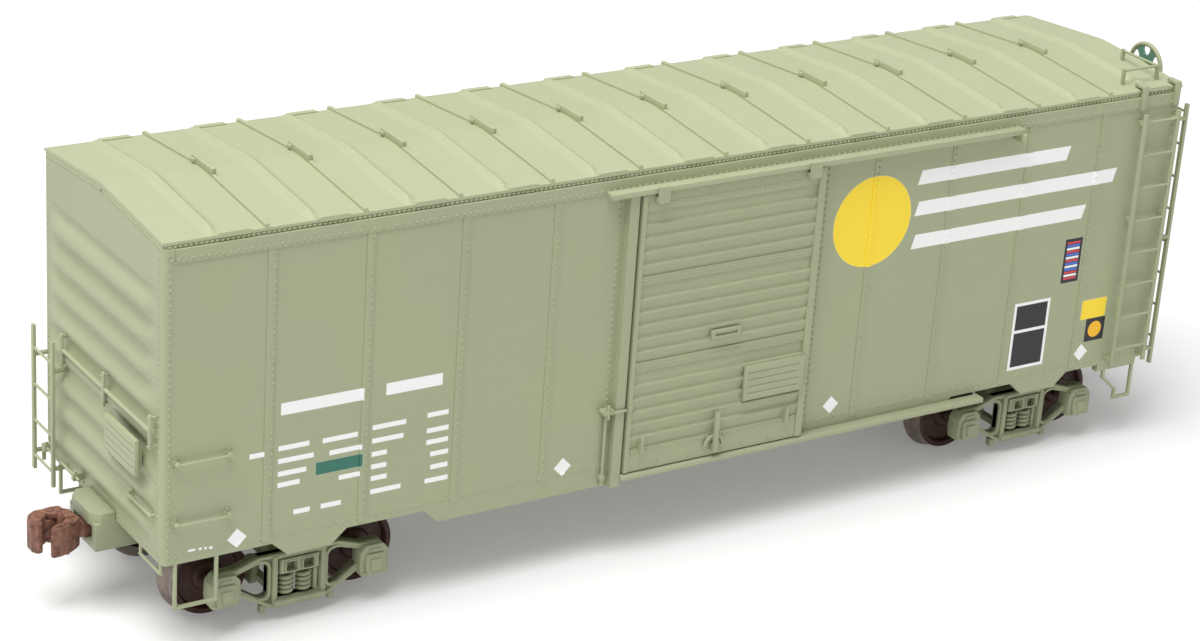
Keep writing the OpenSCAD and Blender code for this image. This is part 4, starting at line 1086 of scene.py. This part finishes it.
def wheelOutline():
    # radius against distance from the middle of the axle, from the back hub out to the axle's end
    r, f, b, w = wheel["tread"], wheel["flange"], wheel["back"], wheel["width"]
    face = b + w
    back = [(wheel["axle"], b - 0.4 * mm), (1.7 * mm, b - 0.4 * mm), (1.9 * mm, b + 0.3 * mm),
            (3.6 * mm, b + 0.45 * mm), (3.95 * mm, b + 0.25 * mm), (4.15 * mm, b)]
    rim = [(r + f - 0.25 * mm, b)]
    rim += [(r + f - 0.25 * mm + 0.25 * mm * math.sin(a), b + 0.28 * mm - 0.28 * mm * math.cos(a))
            for a in (0.5, 1.0, 1.57, 2.2)]
    rim += [(r + 0.28 * mm, b + 0.72 * mm), (r + 0.08 * mm, b + 0.92 * mm), (r, b + 1.15 * mm),
            (r - 0.02 * mm, b + 1.7 * mm), (r - 0.07 * mm, b + 1.76 * mm), (r - 0.03 * mm, b + 1.82 * mm),
            (r - 0.06 * mm, face - 0.2 * mm), (r - 0.14 * mm, face - 0.04 * mm), (r - 0.26 * mm, face)]
    front = [(r - 0.75 * mm, face), (r - 0.88 * mm, face - 0.12 * mm), (r - 1.02 * mm, face - 0.75 * mm),
             (r - 1.6 * mm, face - 0.85 * mm), (2.0 * mm, face - 0.6 * mm), (1.75 * mm, face - 0.2 * mm),
             (1.6 * mm, face - 0.1 * mm), (0.9 * mm, face - 0.1 * mm)]
    return back, rim, front


def spinOutline(bm, points, centre):
    # points are (radius, distance along Y); spun about the axle line
    made = [bm.verts.new((centre[0] + radius, along, centre[2])) for radius, along in points]
    edges = [bm.edges.new(pair) for pair in zip(made, made[1:])]
    bmesh.ops.spin(bm, geom=made + edges, cent=centre, axis=(0, 1, 0), angle=math.tau,
                   steps=wheel["steps"], use_merge=True)


def makeWheelset(name):
    low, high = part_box("axle_" + name)
    centre = ((low.x + high.x) / 2, 0.0, (low.z + high.z) / 2)
    back, rim, front = wheelOutline()
    hub = front[-1][1]
    journal = [front[-1], (0.9 * mm, hub + 0.6 * mm), (0.5 * mm, hub + 1.1 * mm),
               (0.5 * mm, high.y - 0.05 * mm), (0.0, high.y - 0.03 * mm)]
    painted = [[(wheel["axle"], -back[0][1]), (wheel["axle"], back[0][1])]]
    bare = []
    for sign in (-1, 1):
        painted += [[(radius, sign * along) for radius, along in outline]
                    for outline in (back, rim[-2:] + front, journal)]
        bare.append([(radius, sign * along) for radius, along in [back[-1]] + rim[:-1]])
    bm = bmesh.new()
    for index, outlines in enumerate((painted, bare)):
        for outline in outlines:
            before = len(bm.faces)
            spinOutline(bm, outline, centre)
            bm.faces.ensure_lookup_table()
            for face in bm.faces[before:]:
                face.material_index = index
    bmesh.ops.remove_doubles(bm, verts=bm.verts, dist=0.005 * mm)
    piece = finishPiece("wheelset" + name.upper() + "Turned", bm, "wheel", "wheelset_" + name, 35.0)
    piece.data.materials.append(looks["tread"])
    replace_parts(piece, "axle_" + name, "wheels_" + name)


for name in ("a1", "a2", "b1", "b2"):
    makeWheelset(name)
print("wheelsets turned")


truck = {
    "axleOut": 9.62,
    "plane": 13.2,
    "web": (-0.55, 0.35),
    "rim": (-0.75, 0.80),
    "rimWidth": 0.42,
    "edge": 0.12,
    "lidLean": -9,
}
# half of the casting's outline, anticlockwise from the bottom middle, in millimetres
frameHalf = ((3.0, 1.75), (4.0, 2.15), (8.35, 4.75), (11.3, 4.3), (11.45, 6.7), (10.6, 7.75), (8.0, 7.85),
             (5.2, 8.80))
windowOutline = ((3.9, 3.25, 1.5), (5.1, 3.4, 1.0), (8.6, 5.8, 0.3), (8.3, 6.95, 0.3), (5.1, 7.95, 1.3),
                 (3.9, 7.65, 1.3))
springWindow = ((-2.75, 2.95), (2.75, 2.95), (2.75, 8.1), (-2.75, 8.1))
journalOutline = ((-1.75, 3.65), (1.75, 3.65), (1.95, 5.0), (1.85, 6.8), (1.15, 7.65), (-1.15, 7.65),
                  (-1.85, 6.8), (-1.95, 5.0))
lidOutline = ((-1.25, 3.95), (1.25, 3.95), (1.4, 5.2), (1.2, 6.55), (-1.2, 6.55), (-1.4, 5.2))
lidPad = ((-0.75, 4.4), (0.75, 4.4), (0.75, 5.9), (-0.75, 5.9))
framePlane = Matrix.Translation((0, -truck["plane"] * mm, 0)) @ Matrix.Rotation(math.pi / 2, 4, "X")


def buildSideframe(bm):
    # drawn for the left side about the truck's middle; the outer face is towards -Y
    outer = roundedOutline([*frameHalf, *mirroredOutline(frameHalf)], 0.45)
    window = roundedOutline(windowOutline, 0.4)
    windows = [window, mirroredOutline(window), roundedOutline(springWindow, 0.3)]
    addPlate(bm, [outer] + windows, truck["web"][0], truck["web"][1], 0.05, framePlane)
    rimLow, rimHigh = truck["rim"]
    addPlate(bm, [outer, offsetOutline(outer, truck["rimWidth"])], rimLow, rimHigh, truck["edge"], framePlane)
    for opening in windows:
        around = offsetOutline(opening, -truck["rimWidth"])
        addPlate(bm, [around, opening], rimLow, rimHigh - 0.12, truck["edge"], framePlane)
    outside = -(truck["plane"] + rimHigh)
    for sign in (-1, 1):
        # column guides with their wear plates
        low, high = sorted((sign * 2.8, sign * 3.45))
        boxMm(bm, (low, outside - 0.15, 2.3), (high, outside + 1.2, 8.6), 0.10)
        # pedestal wall behind the journal box, the box itself, and its lid with hinge and catch
        x = sign * truck["axleOut"]
        at = framePlane @ Matrix.Translation((x * mm, 0, 0))
        addPlate(bm, [roundedOutline(journalOutline, 0.35)], -0.75, 1.45, 0.16, at)
        lean = Matrix.Rotation(math.radians(truck["lidLean"]), 4, "X")
        tilt = at @ Matrix.Translation((0, 5.2 * mm, 1.5 * mm)) @ lean @ Matrix.Translation((0, -5.2 * mm, 0))
        addPlate(bm, [roundedOutline(lidOutline, 0.3)], -0.3, 0.42, 0.12, tilt)
        addPlate(bm, [roundedOutline(lidPad, 0.2)], 0.3, 0.62, 0.08, tilt)
        rodMm(bm, (x - 0.7, outside - 0.55, 7.0), (x + 0.7, outside - 0.55, 7.0), 0.3)
        for dx in (-1.5, 1.5):
            rodMm(bm, (x + dx, outside - 0.75, 4.1), (x + dx, outside, 4.1), 0.16, 8)
        # hooks for the brake hangers at the foot of the frame
        boxMm(bm, (sign * 4.4 - 0.35, outside + 0.2, 1.3), (sign * 4.4 + 0.35, outside + 1.2, 2.4), 0.1)
    # spring seat and the lip above the bolster
    boxMm(bm, (-3.3, outside - 0.5, 2.2), (3.3, outside + 1.5, 2.85), 0.12)
    boxMm(bm, (-2.9, outside - 0.1, 8.15), (2.9, outside + 1.5, 8.7), 0.12)


def buildBolsterEnd(bm):
    # the bolster's end between the columns, with two framed pockets
    plate = roundedOutline(((-2.45, 6.2), (2.45, 6.2), (2.45, 8.05), (-2.45, 8.05)), 0.2)
    pockets = [roundedOutline(((x - 0.68, 6.5), (x + 0.68, 6.5), (x + 0.68, 7.7), (x - 0.68, 7.7)), 0.18)
               for x in (-1.1, 1.1)]
    addPlate(bm, [plate] + pockets, 0.45, 1.05, 0.08, framePlane)
    for pocket in pockets:
        addPlate(bm, [offsetOutline(pocket, -0.22), pocket], 0.9, 1.22, 0.05, framePlane)
    boxMm(bm, (-2.5, -truck["plane"] - 1.15, 7.85), (2.5, -truck["plane"] + 0.6, 8.1), 0.08)
    boxMm(bm, (-2.3, -truck["plane"] - 0.5, 5.95), (2.3, -truck["plane"] + 0.6, 6.3), 0.08)


springs = {"wire": 0.25 * mm, "radius": 0.72 * mm, "top": 6.1 * mm, "turns": 4.4, "steps": 16,
           "places": (-1.35, 0.95)}


def buildSprings(bm):
    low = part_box("truck_a_springs")[0].z
    for x in springs["places"]:
        centre = Vector((x * mm, -truck["plane"] * mm - 0.05 * mm, low + springs["wire"]))
        start = Matrix.Translation(centre + Vector((springs["radius"], 0, 0)))
        ring = bmesh.ops.create_circle(bm, cap_ends=False, segments=8, radius=springs["wire"],
                                       matrix=start @ Matrix.Rotation(math.pi / 2, 4, "X"))
        edges = list({edge for vert in ring["verts"] for edge in vert.link_edges})
        steps = round(springs["turns"] * springs["steps"])
        rise = springs["top"] - low - 2 * springs["wire"]
        bmesh.ops.spin(bm, geom=ring["verts"] + edges, cent=centre, axis=(0, 0, 1), dvec=(0, 0, rise / steps),
                       angle=math.tau * springs["turns"], steps=steps)
    bmesh.ops.holes_fill(bm, edges=[e for e in bm.edges if e.is_boundary], sides=8)
    # friction wedge beside the springs
    boxMm(bm, (2.05, -truck["plane"] - 0.55, 3.0), (2.6, -truck["plane"] + 0.4, 5.9), 0.12)


def makeTruckPieces(end):
    low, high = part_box(f"truck_{end}_springs")
    middle = Matrix.Translation(((low.x + high.x) / 2, 0, 0))
    for side, turn in (("left", Matrix.Identity(4)), ("right", flip)):
        for kind, build in (("frame", buildSideframe), ("bolsterEnd", buildBolsterEnd),
                            ("springs", buildSprings)):
            bm = bmesh.new()
            build(bm)
            bmesh.ops.remove_doubles(bm, verts=bm.verts, dist=0.002 * mm)
            bmesh.ops.transform(bm, matrix=middle @ turn, verts=bm.verts)
            piece = finishPiece(f"truck{end.upper()}{kind.capitalize()}{side.capitalize()}", bm, "truck",
                                f"truck_{end}", 35.0)
            if kind == "frame":
                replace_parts(piece, f"truck_{end}_frame_{side}")
            elif kind == "springs" and side == "left":
                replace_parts(piece, f"truck_{end}_springs")


for end in "ab":
    makeTruckPieces(end)
print("trucks made")


coupler = {"pivot": 2.9, "middle": 9.9, "half": 1.9, "ear": 0.7, "shank": 0.88}
# outlines about the pivot post, with the coupler's pull towards +X
headOutline = ((6.5, -1.3), (7.3, -2.1), (8.1, -2.55), (8.35, -1.4), (8.15, -0.3), (7.85, 0.55), (8.5, 1.35),
               (9.7, 1.75), (10.55, 2.6), (10.2, 3.0), (9.2, 2.9), (7.9, 2.45), (6.9, 1.75), (6.3, 1.2))
shankOutline = ((-1.2, -1.05), (6.8, -1.05), (7.4, -1.7), (7.4, 1.7), (6.8, 1.05), (-1.2, 1.05))
noseOutline = ((9.15, -2.65), (10.4, -2.7), (11.4, -2.0), (11.95, -0.9), (11.95, 0.5), (11.5, 1.25),
               (10.85, 1.2), (10.65, 0.45), (10.3, -0.45), (9.6, -0.95))
earOutline = ((7.1, -2.55), (8.4, -2.7), (9.5, -2.55), (9.75, -1.7), (9.2, -0.9), (7.6, -0.7))
# each pad's corners, their radius, its foot and top from the head's top, and its edge
headPads = (
    (((6.7, -0.9), (7.9, -0.9), (8.0, 0.9), (6.7, 0.9)), 0.3, -0.2, 0.16, 0.12),
    (((8.2, 1.75), (9.6, 2.05), (9.9, 2.65), (8.6, 2.5)), 0.2, -0.2, 0.12, 0.08),
)
bottomPad = ((6.9, -0.8), (7.7, -0.8), (7.7, 0.8), (6.9, 0.8))
hubOutline = ((8.0, -1.95), (8.75, -2.6), (9.8, -2.6), (10.6, -0.9), (9.3, -0.75), (8.2, -1.2))


def finishCasting(name, node, bm):
    bmesh.ops.remove_doubles(bm, verts=bm.verts, dist=0.002 * mm)
    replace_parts(finishPiece(name, bm, "coupler", node, 35.0), node)


def makeCoupler(end, turn):
    place = turn @ Matrix.Translation((car["halfLength"] - coupler["pivot"] * mm, 0, 0))
    middle, ear = coupler["middle"], coupler["ear"]
    low, high = middle - coupler["half"], middle + coupler["half"]
    shank = (middle - coupler["shank"], middle + coupler["shank"])
    bm = bmesh.new()
    addPlate(bm, [roundedOutline(shankOutline, 0.3)], *shank, 0.12, place)
    addPlate(bm, [circleOutline((0, 0), 1.7, 32), circleOutline((0, 0), 1.02, 24)], *shank, 0.1, place)
    addPlate(bm, [roundedOutline(headOutline, 0.35)], low + 0.05, high - 0.05, 0.22, place)
    # ears over and under the knuckle, and the pin's head
    for bottom, top in ((low, low + ear), (high - ear, high)):
        addPlate(bm, [roundedOutline(earOutline, 0.45)], bottom, top, 0.14, place)
    addPlate(bm, [circleOutline((8.8, -1.75), 0.42, 16)], low, high + 0.18, 0.08, place)
    # ridges and pads cast on the head
    for corners, radius, under, over, edge in headPads:
        addPlate(bm, [roundedOutline(corners, radius)], high + under, high + over, edge, place)
    addPlate(bm, [roundedOutline(bottomPad, 0.3)], low - 0.35, low + 0.2, 0.12, place)
    pin = [place @ (Vector((7.4, 0.0, height)) * mm) for height in (low - 1.3, low)]
    addRod(bm, pin[0], pin[1], 0.3 * mm, 12)
    finishCasting("couplerCasting" + end.upper(), "coupler_" + end, bm)

    bm = bmesh.new()
    addPlate(bm, [roundedOutline(noseOutline, 0.3)], low + 0.02, high - 0.02, 0.25, place)
    addPlate(bm, [roundedOutline(hubOutline, 0.4)], low + ear + 0.08, high - ear - 0.08, 0.12, place)
    finishCasting("knuckleCasting" + end.upper(), "knuckle_" + end, bm)


makeCoupler("a", flip)
makeCoupler("b", Matrix.Identity(4))
print("couplers made")


floorLook = {"color": (0.70, 0.70, 0.70), "glow": 0.18}


def makeFloor():
    bm = bmesh.new()
    bmesh.ops.create_grid(bm, x_segments=1, y_segments=1, size=3.0)
    mesh = bpy.data.meshes.new("floor")
    bm.to_mesh(mesh)
    bm.free()
    floor = bpy.data.objects.new("floor", mesh)
    scene.collection.objects.link(floor)
    material, tree, shader = startMaterial("paleFloor", specular=0.1)
    shader.inputs["Base Color"].default_value = rgba(floorLook["color"])
    shader.inputs["Roughness"].default_value = 0.9
    shader.inputs["Emission Color"].default_value = rgba((1.0, 1.0, 1.0))
    shader.inputs["Emission Strength"].default_value = floorLook["glow"]
    mesh.materials.append(material)


lights = {
    "sky": 0.44,
    "key": {"place": (-0.38, -0.14, 1.1), "size": 0.8, "energy": 16.0},
    "fill": {"place": (-0.90, -0.6, 0.5), "size": 0.8, "energy": 0.8},
}


def makeLights():
    world = bpy.data.worlds.new("softRoom")
    world.use_nodes = True
    world.node_tree.nodes["Background"].inputs["Color"].default_value = (1.0, 1.0, 1.0, 1.0)
    world.node_tree.nodes["Background"].inputs["Strength"].default_value = lights["sky"]
    scene.world = world
    for name in ("key", "fill"):
        facts = lights[name]
        data = bpy.data.lights.new(name, "AREA")
        data.shape = "SQUARE"
        data.size = facts["size"]
        data.energy = facts["energy"]
        lamp = bpy.data.objects.new(name, data)
        lamp.location = facts["place"]
        aim = Vector((0, 0, 0.02)) - Vector(facts["place"])
        lamp.rotation_euler = aim.to_track_quat("-Z", "Y").to_euler()
        scene.collection.objects.link(lamp)


cameraView = {
    "azimuth": -33.84,
    "elevation": 22.88,
    "roll": -4.09,
    "distance": 0.375,
    "target": (-0.00559, 0.0, 0.02384),
    "lens": 89.3,
}


def makeCamera():
    azimuth = math.radians(cameraView["azimuth"])
    elevation = math.radians(cameraView["elevation"])
    roll = math.radians(cameraView["roll"])
    right = Vector((math.cos(azimuth), math.sin(azimuth), 0))
    back = Vector((math.sin(azimuth) * math.cos(elevation), -math.cos(azimuth) * math.cos(elevation),
                   math.sin(elevation)))
    up = back.cross(right)
    rolledRight = right * math.cos(roll) - up * math.sin(roll)
    rolledUp = right * math.sin(roll) + up * math.cos(roll)
    data = bpy.data.cameras.new("studioCamera")
    data.lens = cameraView["lens"]
    data.sensor_width = 36.0
    data.clip_start = 0.01
    camera = bpy.data.objects.new("studioCamera", data)
    place = Matrix((rolledRight, rolledUp, back)).transposed().to_4x4()
    place.translation = Vector(cameraView["target"]) + back * cameraView["distance"]
    camera.matrix_world = place
    scene.collection.objects.link(camera)
    scene.camera = camera


makeFloor()
makeLights()
makeCamera()
scene.view_settings.view_transform = "Standard"
print("stage set")
